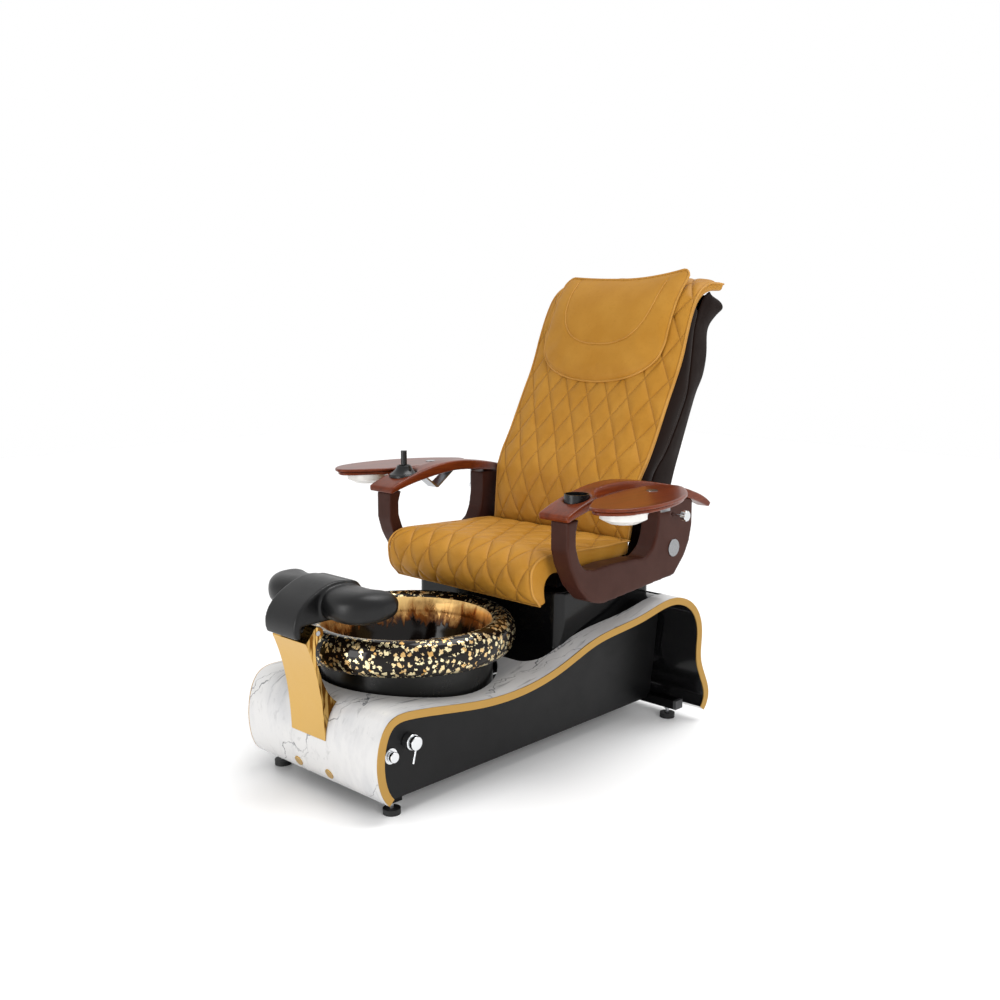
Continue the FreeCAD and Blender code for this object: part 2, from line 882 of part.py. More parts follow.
jet_face = n.bowl_waist - 22
jet_housing = jet_bar(n.jet_radius, jet_face, jet_far).cut(jet_bar(n.jet_radius - 3, jet_face - 1, jet_far - 10))
jet_housing = jet_housing.cut(jet_bar(3 + n.pin_gap, jet_far - 11, jet_far - 4))
node("jet_housing", direct("jet_housing", jet_housing))
jet_cap = jet_bar(n.jet_cap_radius, jet_face - 6, jet_face)
for count in range(6):
    slot_turn = Rotation(jet_way, 60 * count)
    across = slot_turn.multVec(Vector(0, 0, 1))
    jet_cap = jet_cap.cut(round_bar(4, jet_base + jet_way * (jet_face - 8) + across * 14,
                                    jet_base + jet_way * (jet_face + 2) + across * 14))
node("jet_cap", direct("jet_cap", jet_cap))
impeller = jet_bar(7, jet_face + 5, jet_far - 12).fuse(jet_bar(3, jet_far - 13, jet_far - 5))
blade = Part.makeBox(3, 11, 20, Vector(-1.5, 5, 0))
blade_turn = Rotation(Vector(0, 0, 1), jet_way)
for count in range(5):
    spun = blade.copy()
    spun.rotate(Vector(0, 0, 0), Vector(0, 0, 1), 72 * count)
    spun.Placement = Placement(jet_base + jet_way * (jet_face + 6), blade_turn).multiply(spun.Placement)
    impeller = impeller.fuse(spun)
node("jet_impeller", direct("jet_impeller", impeller.removeSplitter()))

drain = revolved("drain_turned", [
    (b.drain_radius - 4, b.bowl_floor - 60, None),
    (b.drain_radius, b.bowl_floor - 60, None),
    (b.drain_radius, b.bowl_floor + b.gap, None),
    (b.drain_flange, b.bowl_floor + 2, None),
    (b.drain_flange - 4, b.bowl_floor + 5, None),
    (b.drain_radius - 4, b.bowl_floor + 3, None),
])
place(drain, 0, b.bath_y, 0)
node("drain_fitting", drain)

# Moulded tray in the rear opening and the plinth that rises from it


def plinth_prism(inset, low, high):
    """The plinth's outline in plan, drawn in from its wall, between two heights."""
    half = n.plinth_half - inset
    front = n.plinth_front_y + inset
    rear = n.plinth_rear_y - inset
    corners = [Vector(-half, front, low), Vector(half, front, low), Vector(half, rear, low), Vector(-half, rear, low)]
    return prism(rounded_wire(corners, [n.plinth_corner - inset] * 4), Vector(0, 0, high - low))


sky = n.crest_z + 100
tray = wave_slab(n.tray_recess, n.tray_depth).common(tray_space(-n.gap, 0, sky))
tray = tray.fuse(wave_slab(n.panel_thick + n.gap, n.tray_depth).common(tray_space(n.tray_lip, 0, sky)))
tray = tray.cut(Part.makeCylinder(n.ring_radius + n.gap, sky, bath_centre))
tray = tray.cut(Part.makeCylinder(hole_radius + n.gap, sky, bath_centre).common(
    Part.makeBox(2 * WIDE, hole_radius * 2, sky, Vector(-WIDE, n.tray_front_y - 2 * hole_radius - 20, 0))))
tray = tray.cut(plinth_prism(-n.gap, 0, sky))
node("moulded_tray", direct("moulded_tray", tray))
plinth = plinth_prism(0, n.plinth_low, n.plinth_top).cut(
    plinth_prism(n.plinth_wall, n.plinth_low - 1, n.plinth_top - n.plinth_wall))
top_edges = [edge for edge in plinth.Edges if abs(edge.CenterOfMass.z - n.plinth_top) < 0.01]
plinth = plinth.makeFillet(5, top_edges).cut(under_wave(n.tray_depth, 0, n.skirt_end_y))
plinth = plinth.cut(wave_slab(-1, n.panel_thick + n.gap).cut(tray_space(-n.gap, 0, sky)))
node("seat_plinth", direct("seat_plinth", plinth))

# Footrest: a folded gold post over the nose, a hinge pin and a moulded pad with a raised middle band

post_front = side_points([
    (n.post_foot_y, n.post_foot_z), (n.post_shin_y, n.post_shin_z), (n.post_neck_y, n.post_neck_z),
    (n.post_top_y, n.post_top_z),
])
post_rear = side_points([
    (n.hinge_y + 8, n.hinge_z - 12), (n.hinge_y - 8, n.hinge_z - 40), (n.post_neck_y + 12, n.post_neck_z),
    (n.post_shin_y + 25, n.post_shin_z), (n.post_heel_y, n.post_heel_z),
])
post_heel = Vector(0, n.post_heel_y, n.post_foot_z)
horn_top = Vector(0, n.hinge_y - 6, n.hinge_z + n.hinge_block_radius - 4)
post_edges = [
    spline_edge(post_front),
    Part.LineSegment(post_front[-1], horn_top).toShape(),
    Part.LineSegment(horn_top, post_rear[0]).toShape(),
    spline_edge(post_rear),
    Part.LineSegment(post_rear[-1], post_heel).toShape(),
    Part.LineSegment(post_heel, post_front[0]).toShape(),
]
post = prism(Part.Wire(post_edges), Vector(2 * n.post_half, 0, 0))
post.translate(Vector(-n.post_half, 0, 0))
post = post.cut(under_wave(-n.gap, 0, n.dip_y))
hinge_centre = Vector(0, n.hinge_y, n.hinge_z)


def hinge_bar_along(radius, half):
    """A round bar on the footrest's axis, the same to both sides."""
    return round_bar(radius, hinge_centre - Vector(half, 0, 0), hinge_centre + Vector(half, 0, 0))


slot_half = n.hinge_block_half + n.gap
slot = Part.makeBox(2 * slot_half, 140, 80, Vector(-slot_half, n.hinge_y - 70, n.hinge_z - 4))
slot = slot.fuse(hinge_bar_along(n.hinge_block_radius + n.gap, slot_half))
post = post.fuse(hinge_bar_along(n.hinge_block_radius - 2, n.post_half))
post = post.cut(slot).cut(hinge_bar_along(n.hinge_pin, 200))
node("footrest_post", direct("footrest_post", post.removeSplitter()))
pin = cylinder("footrest_pin_rod", b.hinge_pin, b.post_half * 2, -b.post_half, b.hinge_y, b.hinge_z, ALONG_X)
node("footrest_pin", pin)

hinge_block = hinge_bar_along(n.hinge_block_radius, n.hinge_block_half)
hinge_neck = Part.makeBox(2 * n.hinge_block_half, n.hinge_block_radius, 50,
                          Vector(-n.hinge_block_half, n.hinge_y - n.hinge_block_radius / 2, n.hinge_z))
hinge_block = hinge_block.fuse(hinge_neck).cut(hinge_bar_along(n.hinge_pin + n.pin_gap, 60))


def pad_ring(x):
    """One closed section of the foot pad's lobes at a distance from the middle."""
    late = max(abs(x) / n.pad_half - 0.7, 0) / 0.3
    shrink = max(1 - late ** 2.4, 0) ** (1 / 2.4)
    shrink = max(shrink, 0.3)
    square = 0.8
    ring_points = []
    for step in range(16):
        angle = 2 * math.pi * step / 16
        side, up = math.cos(angle), math.sin(angle)
        y = n.pad_deep * shrink * math.copysign(abs(side) ** square, side)
        z = n.pad_high * shrink * math.copysign(abs(up) ** square, up)
        ring_points.append(Vector(x, n.pad_y + n.pad_sweep * late + y, n.pad_z + 3 * late + z))
    curve = Part.BSplineCurve()
    curve.interpolate(ring_points, PeriodicFlag=True)
    return Part.Wire(curve.toShape())


pad_shares = (0.35, 0.68, 0.8, 0.9, 0.96, 1)
pad_stations = [-n.pad_half * share for share in reversed(pad_shares)] + [n.pad_half * share for share in pad_shares]
foot_pad = Part.makeLoft([pad_ring(x) for x in pad_stations], True)
band_top = side_points([
    (n.band_front_y + 4, n.band_low), (n.band_front_y, n.band_low + 42), (n.band_front_y + 26, n.band_crest_z - 40),
    (n.band_front_y + 64, n.band_crest_z - 16), (n.pad_y - 30, n.band_crest_z), (n.pad_y + 26, n.band_crest_z - 2),
])
band_rear = side_points([
    (n.pad_y + 26, n.band_crest_z - 2), (n.band_rear_y - 4, n.band_crest_z - 26), (n.band_rear_y - 12, n.pad_z - 18),
    (n.pad_y - 8, n.band_under),
])
flap_rear = n.band_front_y + 4 + n.band_flap - 2
flap_top = Vector(0, flap_rear, n.band_under)
flap_low = Vector(0, flap_rear, n.band_low)
band_edges = [
    spline_edge(band_top),
    spline_edge(band_rear),
    Part.LineSegment(band_rear[-1], flap_top).toShape(),
    Part.LineSegment(flap_top, flap_low).toShape(),
    Part.LineSegment(flap_low, band_top[0]).toShape(),
]
band = prism(Part.Wire(band_edges), Vector(2 * n.band_half, 0, 0))
band.translate(Vector(-n.band_half, 0, 0))
foot_pad = foot_pad.fuse(band).cut(hinge_bar_along(n.hinge_pin + n.pin_gap, 60)).fuse(hinge_block)
node("footrest_pad", direct("footrest_pad", foot_pad.removeSplitter()))

# Water controls on the left skirt

mixer_start = n.skirt_front_half + 1
mixer = round_bar(n.mixer_radius, Vector(mixer_start, n.mixer_y, n.mixer_z),
                  Vector(mixer_start + n.mixer_reach, n.mixer_y, n.mixer_z))
mixer = mixer.makeFillet(3, [mixer.Edges[0], mixer.Edges[2]])
mixer = mixer.fuse(round_bar(n.mixer_radius - 6, Vector(mixer_start - 40, n.mixer_y, n.mixer_z),
                             Vector(mixer_start + 1, n.mixer_y, n.mixer_z)))
mixer = mixer.cut(round_bar(n.mixer_spindle + n.pin_gap, Vector(mixer_start + 6, n.mixer_y, n.mixer_z),
                            Vector(mixer_start + n.mixer_reach + 1, n.mixer_y, n.mixer_z)))
node("mixer_body", direct("mixer_body", mixer))
knob_start = mixer_start + n.mixer_reach + n.gap
mixer_knob = round_bar(n.mixer_knob_radius, Vector(knob_start, n.mixer_y, n.mixer_z),
                       Vector(knob_start + n.mixer_knob_thick, n.mixer_y, n.mixer_z))
mixer_knob = mixer_knob.makeFillet(2, [mixer_knob.Edges[0], mixer_knob.Edges[2]])
mixer_knob = mixer_knob.fuse(round_bar(n.mixer_spindle, Vector(mixer_start + 8, n.mixer_y, n.mixer_z),
                                       Vector(knob_start + 1, n.mixer_y, n.mixer_z)))
lever_spot = Vector(knob_start + n.mixer_knob_thick / 2, n.mixer_y, n.mixer_z - n.mixer_knob_radius + 2)
lever_end = lever_spot + Vector(0, -n.lever_long / 4, -n.lever_long)
mixer_knob = mixer_knob.fuse(round_bar(n.lever_radius, lever_spot, lever_end))
node("mixer_knob", direct("mixer_knob", mixer_knob))
bezel = round_bar(n.bezel_radius, Vector(mixer_start, n.drain_knob_y, n.drain_knob_z),
                  Vector(mixer_start + n.bezel_thick, n.drain_knob_y, n.drain_knob_z))
bezel = bezel.fuse(round_bar(n.drain_knob_radius - 2, Vector(mixer_start - 14, n.drain_knob_y, n.drain_knob_z),
                             Vector(mixer_start + 1, n.drain_knob_y, n.drain_knob_z)))
bezel = bezel.cut(round_bar(4 + n.pin_gap, Vector(mixer_start - 8, n.drain_knob_y, n.drain_knob_z),
                            Vector(mixer_start + 20, n.drain_knob_y, n.drain_knob_z)))
node("drain_bezel", direct("drain_bezel", bezel))
drain_start = mixer_start + n.bezel_thick + n.gap
drain_knob = round_bar(n.drain_knob_radius, Vector(drain_start, n.drain_knob_y, n.drain_knob_z),
                       Vector(drain_start + n.drain_knob_thick, n.drain_knob_y, n.drain_knob_z))
drain_knob = drain_knob.makeFillet(2, [drain_knob.Edges[0], drain_knob.Edges[2]])
drain_knob = drain_knob.fuse(round_bar(4, Vector(mixer_start - 6, n.drain_knob_y, n.drain_knob_z),
                                       Vector(drain_start + 1, n.drain_knob_y, n.drain_knob_z)))
node("drain_knob", direct("drain_knob", drain_knob))
skirt_left = skirt(1).cut(mixer).cut(bezel)
for radius, y, z in ((n.mixer_radius - 6, n.mixer_y, n.mixer_z), (n.drain_knob_radius - 2, n.drain_knob_y, n.drain_knob_z)):
    skirt_left = skirt_left.cut(round_bar(radius, Vector(mixer_start - 40, y, z), Vector(mixer_start + 40, y, z)))
node("side_skirt_left", direct("side_skirt_left", skirt_left))
node("side_skirt_right", direct("side_skirt_right", skirt(-1)))

# Slide rails on the plinth, the seat carriage on them and the actuator between them

slides = []
for sign, word in ((1, "left"), (-1, "right")):
    slides.append(box("slide_" + word, b.slide_rail_x * sign - b.slide_rail_wide / 2, b.slide_rail_front,
                      b.plinth_top, b.slide_rail_wide, b.slide_rail_rear - b.slide_rail_front,
                      b.slide_rail_high))
node("slide_rails", group("slide_rails", slides))
carriage_low = b.plinth_top + b.slide_rail_high + b.gap
carriage = []
for sign, word in ((1, "left"), (-1, "right")):
    carriage.append(box("carriage_side_" + word, b.slide_rail_x * sign - b.seat_tube / 2, b.slide_rail_front + 10,
                        carriage_low, b.seat_tube, b.pivot_y - b.slide_rail_front, b.seat_tube))
    ear_base = box("ear_base_" + word, b.pivot_plate_x * sign - b.pivot_plate_thick / 2,
                   b.pivot_y - b.pivot_plate_radius, carriage_low, b.pivot_plate_thick,
                   b.pivot_plate_radius * 2, b.pivot_z - carriage_low)
    ear_round = cylinder("ear_round_" + word, b.pivot_plate_radius, b.pivot_plate_thick,
                         b.pivot_plate_x * sign - b.pivot_plate_thick / 2, b.pivot_y, b.pivot_z, ALONG_X)
    carriage += [ear_base, ear_round]
carriage.append(box("carriage_front", -b.slide_rail_x, b.slide_rail_front + 10, carriage_low,
                    b.slide_rail_x * 2, b.seat_tube, b.seat_tube))
carriage.append(box("carriage_rear", -b.pivot_plate_x, b.pivot_y - b.seat_tube / 2, carriage_low,
                    b.pivot_plate_x * 2, b.seat_tube, b.seat_tube))
rod_z = carriage_low + b.seat_tube / 2
pin_start = b.gusset_half - b.gusset_wall - b.back_plate_inset - b.back_plate - 2
pin_long = b.arm_outer - 10 - pin_start
for sign, word in ((1, "left"), (-1, "right")):
    near = pin_start if sign > 0 else 10 - b.arm_outer
    carriage.append(cylinder("pivot_" + word, b.pivot_radius, pin_long, near, b.pivot_y, b.pivot_z, ALONG_X))
tube_front = b.slide_rail_front + b.seat_tube + 30
tube_end = b.pivot_y - b.seat_tube / 2 - b.seat_travel - 2
carriage.append(cylinder("actuator_rod", b.rod_radius, tube_end - 60 - b.slide_rail_front - 20,
                         0, b.slide_rail_front + 20, rod_z, ALONG_Y))
node("seat_frame", fuse("seat_frame", carriage))
tube = cylinder("actuator_tube", b.actuator_radius - 6, tube_end - tube_front, 0, tube_front, rod_z, ALONG_Y)
tube_bore = cylinder("actuator_bore", b.rod_radius + b.pin_gap, tube_end - tube_front - 10,
                     0, tube_front - 1, rod_z, ALONG_Y)
tube_foot = box("actuator_foot", -b.actuator_radius, tube_end - 40, b.plinth_top,
                b.actuator_radius * 2, 36, b.slide_rail_high + b.gap + 4)
node("slide_actuator", cut("slide_actuator", fuse("actuator_solid", [tube, tube_foot]), tube_bore))


def seat_side(front, top, low, lip):
    """The seat cushion's outline from the side."""
    return [
        Vector(0, front + 36, lip), Vector(0, front - 6, lip + 62), Vector(0, front + 14, top),
        Vector(0, n.seat_rear_y, top - 8), Vector(0, n.seat_rear_y, low),
        Vector(0, front + n.seat_lip_thick + 22, low), Vector(0, front + n.seat_lip_thick, lip + 4),
    ]


def seat_ring(x, sink):
    """The cushion's side outline at a distance from its middle, drawn in by sink."""
    corners = seat_side(n.seat_front_y + sink, n.seat_top - sink, n.seat_low, n.seat_lip_z)
    for corner in corners:
        corner.x = x
    return rounded_wire(corners, [4, 40, 46, 16, 4, 12, 2])


seat_stations = [(-1, 9), (-0.93, 2), (-0.5, 0), (0, -3), (0.5, 0), (0.93, 2), (1, 9)]
seat = Part.makeLoft([seat_ring(n.seat_half * share, sink) for share, sink in seat_stations], True, False)
node("seat_cushion", direct("seat_cushion", seat))
pan_front = b.slide_rail_front - 10
pan_outer = box("seat_pan_outer", -b.pan_half, pan_front, carriage_low,
                b.pan_half * 2, b.seat_rear_y - pan_front, b.seat_low - carriage_low - b.gap)
pan_inner = box("seat_pan_inner", b.pan_wall - b.pan_half, pan_front + b.pan_wall, carriage_low - 1,
                (b.pan_half - b.pan_wall) * 2, b.seat_rear_y - pan_front, b.seat_tube + 1)
node("seat_pan", cut("seat_pan", pan_outer, pan_inner))

# Back: quilted pad, side gusset, headrest pillow, moulded shell and the frame inside

back_line = side_points([
    (n.back_low_y, n.back_low_z), (n.lumbar_y, n.lumbar_z), (n.waist_back_y, n.waist_back_z), (n.mid_y, n.mid_z),
    (n.chest_y, n.chest_z), (n.shoulder_y, n.shoulder_z), (n.neck_y, n.neck_z), (n.head_y, n.head_z),
    (n.roll_y, n.roll_z), (n.curl_y, n.curl_z), (n.tip_y, n.tip_z),
])
BACK_STEPS = 44


def tapered_offset(distance, ending):
    """The back's side line moved by a distance, which shrinks to its ending at the rolled tip."""
    full = offset_points(back_line, distance, BACK_STEPS)
    small = offset_points(back_line, ending, BACK_STEPS)
    first = BACK_STEPS - 14
    for index in range(first, BACK_STEPS + 1):
        share = (index - first) / (BACK_STEPS - first)
        full[index] = full[index] * (1 - share) + small[index] * share
    return full


def closed_band(near, far):
    """A closed side outline between two lines that run the same way."""
    edges = [
        spline_edge(near),
        Part.LineSegment(near[-1], far[-1]).toShape(),
        spline_edge(far),
        Part.LineSegment(far[0], near[0]).toShape(),
    ]
    return Part.Wire(Part.__sortEdges__(edges))


def across(wire, half):
    """A solid from a side outline, over the same width to both sides."""
    solid = prism(wire, Vector(2 * half, 0, 0))
    solid.translate(Vector(-half, 0, 0))
    return solid


pad_front = tapered_offset(-n.pad_crown, -7)
pad_rear = tapered_offset(n.pad_side, 5)
half_line = [
    Vector(n.back_half_low, 0, n.back_low_z - 40), Vector(n.back_half_low + 8, 0, n.lumbar_z),
    Vector(n.back_half, 0, n.mid_z), Vector(n.back_half, 0, n.chest_z), Vector(n.back_half - 6, 0, n.neck_z),
    Vector(n.back_half_top, 0, n.tip_z + 60),
]
other_half = [Vector(-point.x, 0, point.z) for point in half_line]
front_outline = closed_band(half_line, other_half)
front_prism = Part.Face(front_outline).extrude(Vector(0, 1200, 0))
pad_band = closed_band(pad_front, pad_rear)
back_pad = across(pad_band, n.back_half + 20).common(front_prism)
node("back_pad", direct("back_pad", back_pad))

seam_line = side_points([
    (n.seam_low_y, n.seam_low_z), (n.seam_hip_y, n.seam_hip_z), (n.seam_mid_y, n.seam_mid_z),
    (n.seam_chest_y, n.seam_chest_z), (n.seam_neck_y, n.seam_neck_z), (n.seam_top_y, n.seam_top_z),
])
behind_pad = offset_points(back_line, n.pad_side + n.gap, BACK_STEPS)
gusset_front = [point for point in behind_pad if point.z < n.seam_top_z + 14]
gusset = across(closed_band(gusset_front, seam_line), n.gusset_half)
gusset = gusset.cut(across(closed_band(gusset_front, seam_line), n.gusset_half - n.gusset_wall))

shell_line = side_points([
    (n.shell_low_y, n.shell_low_z), (n.shell_hip_y, n.shell_hip_z), (n.shell_mid_y, n.shell_mid_z),
    (n.shell_chest_y, n.shell_chest_z), (n.shell_neck_y, n.shell_neck_z), (n.shell_nape_y, n.shell_nape_z),
    (n.shell_lip_y - 8, n.shell_lip_z - 16), (n.shell_lip_y, n.shell_lip_z),
    (n.shell_lip_y - 16, n.shell_lip_z + 14), (n.shell_top_y, n.shell_top_z),
])
seam_curve = Part.BSplineCurve()
seam_curve.interpolate(seam_line)
shell_curve = Part.BSplineCurve()
shell_curve.interpolate(shell_line)
SHELL_RINGS = 15


def shell_form(inset, ahead=0.0):
    """The back shell's form through trapezoid rings, drawn in by a wall and run on ahead of its open front."""
    rings = []
    for index in range(SHELL_RINGS + 1):
        share = index / SHELL_RINGS
        rear = shell_curve.value(shell_curve.FirstParameter
                                 + (shell_curve.LastParameter - shell_curve.FirstParameter) * share)
        if share < 0.62:
            near = seam_curve.value(seam_curve.FirstParameter
                                    + (seam_curve.LastParameter - seam_curve.FirstParameter) * share / 0.62)
            near = near + Vector(0, n.gap, 0)
        else:
            step = (share - 0.62) / 0.38
            begin = seam_line[-1] + Vector(0, n.gap, 0)
            near = begin * (1 - step) + Vector(0, n.shell_top_y - 24, n.shell_top_z - 6) * step
        way = (rear - near).normalize()
        far = rear - way * inset
        near = near - way * ahead
        wide = n.shell_half - inset
        deep = (rear - near).Length
        narrow = n.shell_rear_half - inset
        corner = min(26.0, deep * 0.3)
        side_way = (Vector(narrow, 0, 0) - Vector(wide, 0, 0) + way * deep).normalize()
        corners = [
            near + Vector(-wide, 0, 0), near + Vector(wide, 0, 0),
            far + Vector(narrow, 0, 0) - side_way * corner, far + Vector(narrow - corner, 0, 0),
            far + Vector(corner - narrow, 0, 0),
            far + Vector(-narrow, 0, 0) + Vector(side_way.x, -side_way.y, -side_way.z) * corner,
        ]
        rings.append(Part.makePolygon(corners + corners[:1]))
    return Part.makeLoft(rings, True, True)


shell = shell_form(0).cut(shell_form(n.shell_wall, 20))
node("back_shell", direct("back_shell", shell))
node("back_gusset", direct("back_gusset", gusset.cut(shell_form(-n.gap, n.gap))))

# Frame inside the back: a curved plate at each side on the pivot pins, and two crossbars with the rails

spine_way = Vector(0, n.spine_high_y - n.spine_low_y, n.spine_high_z - n.spine_low_z)
spine_long = spine_way.Length
spine_way.normalize()
spine_rear = Vector(0, spine_way.z, -spine_way.y)
spine_base = Vector(0, n.spine_low_y, n.spine_low_z)


def spine_block(half, depth, deep, start, long):
    """A block across the back: centred on a depth, from a distance along the rails' line."""
    low = spine_base + spine_way * start + spine_rear * (depth - deep / 2) - Vector(half, 0, 0)
    corners = [low, low + spine_rear * deep, low + spine_rear * deep + spine_way * long, low + spine_way * long]
    return prism(Part.makePolygon(corners + corners[:1]), Vector(2 * half, 0, 0))


def spine_rod(x, depth, radius, start, stop):
    """A round bar along the rails' line."""
    side = Vector(x, 0, 0) + spine_rear * depth
    return round_bar(radius, spine_base + spine_way * start + side, spine_base + spine_way * stop + side)


def cross_bar(depth, along, radius, low, high):
    """A round bar along X at a depth and a distance along the rails' line."""
    spot = spine_base + spine_way * along + spine_rear * depth
    return round_bar(radius, spot + Vector(low, 0, 0), spot + Vector(high, 0, 0))


plate_outer = n.gusset_half - n.gusset_wall - n.back_plate_inset
plate_front = offset_points(back_line, n.pad_side + 22, BACK_STEPS)
plate_rear = offset_points(back_line, n.pad_side + 22 + n.back_plate_wide, BACK_STEPS)
plate_last = max(index for index, point in enumerate(plate_rear) if point.z < n.neck_z - 40)
pivot = Vector(0, n.pivot_y, n.pivot_z)
frame_solids = []
for sign in (-1, 1):
    near = Vector(plate_outer - n.back_plate if sign > 0 else -plate_outer, 0, 0)
    plate = prism(closed_band(plate_front[:plate_last], plate_rear[:plate_last]), Vector(n.back_plate, 0, 0))
    plate.translate(near)
    plate = plate.fuse(round_bar(n.back_boss, pivot + near, pivot + near + Vector(n.back_plate, 0, 0)))
    lug = [plate_front[1] + near, plate_rear[1] + near, pivot + near + Vector(0, n.back_boss, 0),
           pivot + near - Vector(0, n.back_boss, 0)]
    plate = plate.fuse(prism(Part.makePolygon(lug + lug[:1]), Vector(n.back_plate, 0, 0)))
    plate = plate.cut(round_bar(n.pivot_radius + n.pin_gap, pivot - Vector(400, 0, 0), pivot + Vector(400, 0, 0)))
    frame_solids.append(plate.removeSplitter())
for start in (-n.massage_bar / 2, spine_long - n.massage_bar / 2):
    bar = spine_block(plate_outer - n.back_plate, n.massage_offset, n.massage_bar, start, n.massage_bar)
    for sign in (-1, 1):
        bar = bar.cut(spine_rod(sign * n.massage_rail_x, n.massage_offset, n.massage_rail_radius,
                                -n.massage_bar, spine_long + n.massage_bar))
    frame_solids.append(bar)
for sign in (-1, 1):
    frame_solids.append(spine_rod(sign * n.massage_rail_x, n.massage_offset, n.massage_rail_radius,
                                  -n.massage_bar / 2, spine_long + n.massage_bar / 2))
node("back_frame", direct("back_frame", Part.makeCompound(frame_solids)))

carriage_solid = spine_block(n.carriage_half, n.massage_offset, n.carriage_deep, n.massage_start, n.carriage_long)
for sign in (-1, 1):
    carriage_solid = carriage_solid.cut(
        spine_rod(sign * n.massage_rail_x, n.massage_offset, n.massage_rail_radius + n.pin_gap, 0, spine_long))
axle_along = n.massage_start + n.carriage_long + n.axle_ahead
for x in (-n.roller_far - 12, n.roller_far + 4):
    cheek = spine_block(4, n.axle_offset + 6, 24, axle_along - n.axle_ahead - 1, n.axle_ahead + 10)
    cheek.translate(Vector(x + 4, 0, 0))
    carriage_solid = carriage_solid.fuse(cheek)
carriage_solid = carriage_solid.cut(cross_bar(n.axle_offset, axle_along, n.axle_radius + n.pin_gap, -120, 120))
node("massage_carriage", direct("massage_carriage", carriage_solid.removeSplitter()))
rollers = cross_bar(n.axle_offset, axle_along, n.axle_radius, -n.roller_far - 12, n.roller_far + 12)
for low, high in ((-n.roller_far, -n.roller_near), (n.roller_near, n.roller_far)):
    roller = cross_bar(n.axle_offset, axle_along, n.roller_radius, low, high)
    rollers = rollers.fuse(roller.makeFillet(6, [roller.Edges[0], roller.Edges[2]]))
node("massage_rollers", direct("massage_rollers", rollers.removeSplitter()))

# Headrest pillow: thick at the top, its lower edge a wide curve, its wings brought forward


def pillow_ring(x):
    """One closed side section of the pillow at a distance from its middle."""
    share = abs(x) / n.pillow_half
    low = n.pillow_low + 150 * share ** 3.2
    top = n.pillow_top - n.pillow_dip * (1 - share ** 2)
    rise = top - low
    tip_y = n.pillow_tip_y + 26 * (1 - share ** 2)
    spots = [point for point in pad_front if point.z < n.head_z]
    lean = max(spots, key=lambda spot: spot.z)

    def rest(height, ahead):
        """A point at a height and a distance in front of the back pad."""
        if height >= lean.z:
            step = (height - lean.z) / (top - lean.z)
            y = lean.y + (tip_y - lean.y) * step
        else:
            y = min(spots, key=lambda spot: abs(spot.z - height)).y
        return Vector(x, y - ahead - n.gap, height)

    thick = n.pillow_thick
    ring_points = [
        rest(low, 2), rest(low + 5, thick * 0.5), rest(low + rise * 0.2, thick * 0.9),
        rest(low + rise * 0.5, thick), rest(low + rise * 0.8, thick * 0.95), rest(top - 8, thick * 0.7),
        rest(top, thick * 0.3), rest(top - 8, 0), rest(low + rise * 0.8, 1), rest(low + rise * 0.5, 1),
        rest(low + rise * 0.2, 1),
    ]
    curve = Part.BSplineCurve()
    curve.interpolate(ring_points, PeriodicFlag=True)
    return Part.Wire(curve.toShape())


pillow = Part.makeLoft([pillow_ring(n.pillow_half * share) for share in (-1, -0.8, -0.5, 0, 0.5, 0.8, 1)], True)
pillow = pillow.cut(back_pad)
node("headrest_pillow", direct("headrest_pillow", pillow))

# Arms: painted panel open at the top, wood cap over it, and what sits on them

arm_outline = side_points([
    (n.arm_front_y, 668), (n.arm_front_y, 590), (n.arm_front_y + 14, 546), (n.arm_front_y + 47, 489),
    (n.arm_front_y + 92, 445), (n.arm_front_y + 140, 430), (n.arm_heel_y - 90, n.arm_low_rear - 5),
    (n.arm_heel_y - 18, n.arm_low_rear), (n.arm_heel_y + 32, n.arm_low_rear + 50),
    (n.arm_heel_y + 54, n.arm_low_rear + 88), (n.arm_rear_y, n.arm_low_rear + 137), (n.arm_rear_y, 700),
])
window_outline = side_points([
    (n.window_front_y + 22, 740), (n.window_front_y + 12, 676), (n.window_front_y, 641), (n.window_front_y, 599),
    (n.window_front_y + 15, 558), (n.window_front_y + 34, n.window_low + 6), (n.window_front_y + 72, n.window_low - 2),
    (n.window_front_y + 139, n.window_low + 2), (n.window_rear_y - 110, n.window_low),
    (n.window_rear_y - 62, n.window_low - 6), (n.window_rear_y - 24, n.window_low + 18),
    (n.window_rear_y - 8, n.window_low + 52), (n.window_rear_y, n.window_low + 100), (n.window_rear_y, 740),
])
cap_top = side_points([
    (n.cap_front_y + 2, n.cap_front_z + 20), (n.cap_front_y + 22, n.cap_front_z + 29),
    (n.cap_front_y + 85, n.cap_front_z + 50), (n.cap_front_y + 146, n.cap_front_z + 65),
    (n.cap_arch_y, n.cap_arch_z + n.cap_deep), (n.cap_arch_y + 95, n.cap_arch_z + 21),
    (n.cap_arch_y + 190, n.cap_arch_z + 4), (n.cap_rear_y - 95, n.cap_tail_z + 52),
    (n.cap_rear_y - 20, n.cap_tail_z + 20), (n.cap_rear_y, n.cap_tail_z + 6),
])
cap_under = side_points([
    (n.cap_front_y + 4, n.cap_front_z + 2), (n.cap_front_y + 86, n.cap_front_z + 24),
    (n.cap_front_y + 141, n.cap_front_z + 34), (n.cap_arch_y - 10, n.cap_arch_z),
    (n.cap_arch_y + 90, n.cap_arch_z - 7), (n.cap_arch_y + 183, n.cap_arch_z - 22),
    (n.cap_rear_y - 95, n.cap_tail_z + 26), (n.cap_rear_y - 10, n.cap_tail_z - 6),
])


def closed_side(top, under):
    """A closed side outline from a top line and an underside line, joined by straight ends."""
    edges = [
        spline_edge(top),
        Part.LineSegment(top[-1], under[-1]).toShape(),
        spline_edge(under),
        Part.LineSegment(under[0], top[0]).toShape(),
    ]
    return Part.Wire(Part.__sortEdges__(edges))


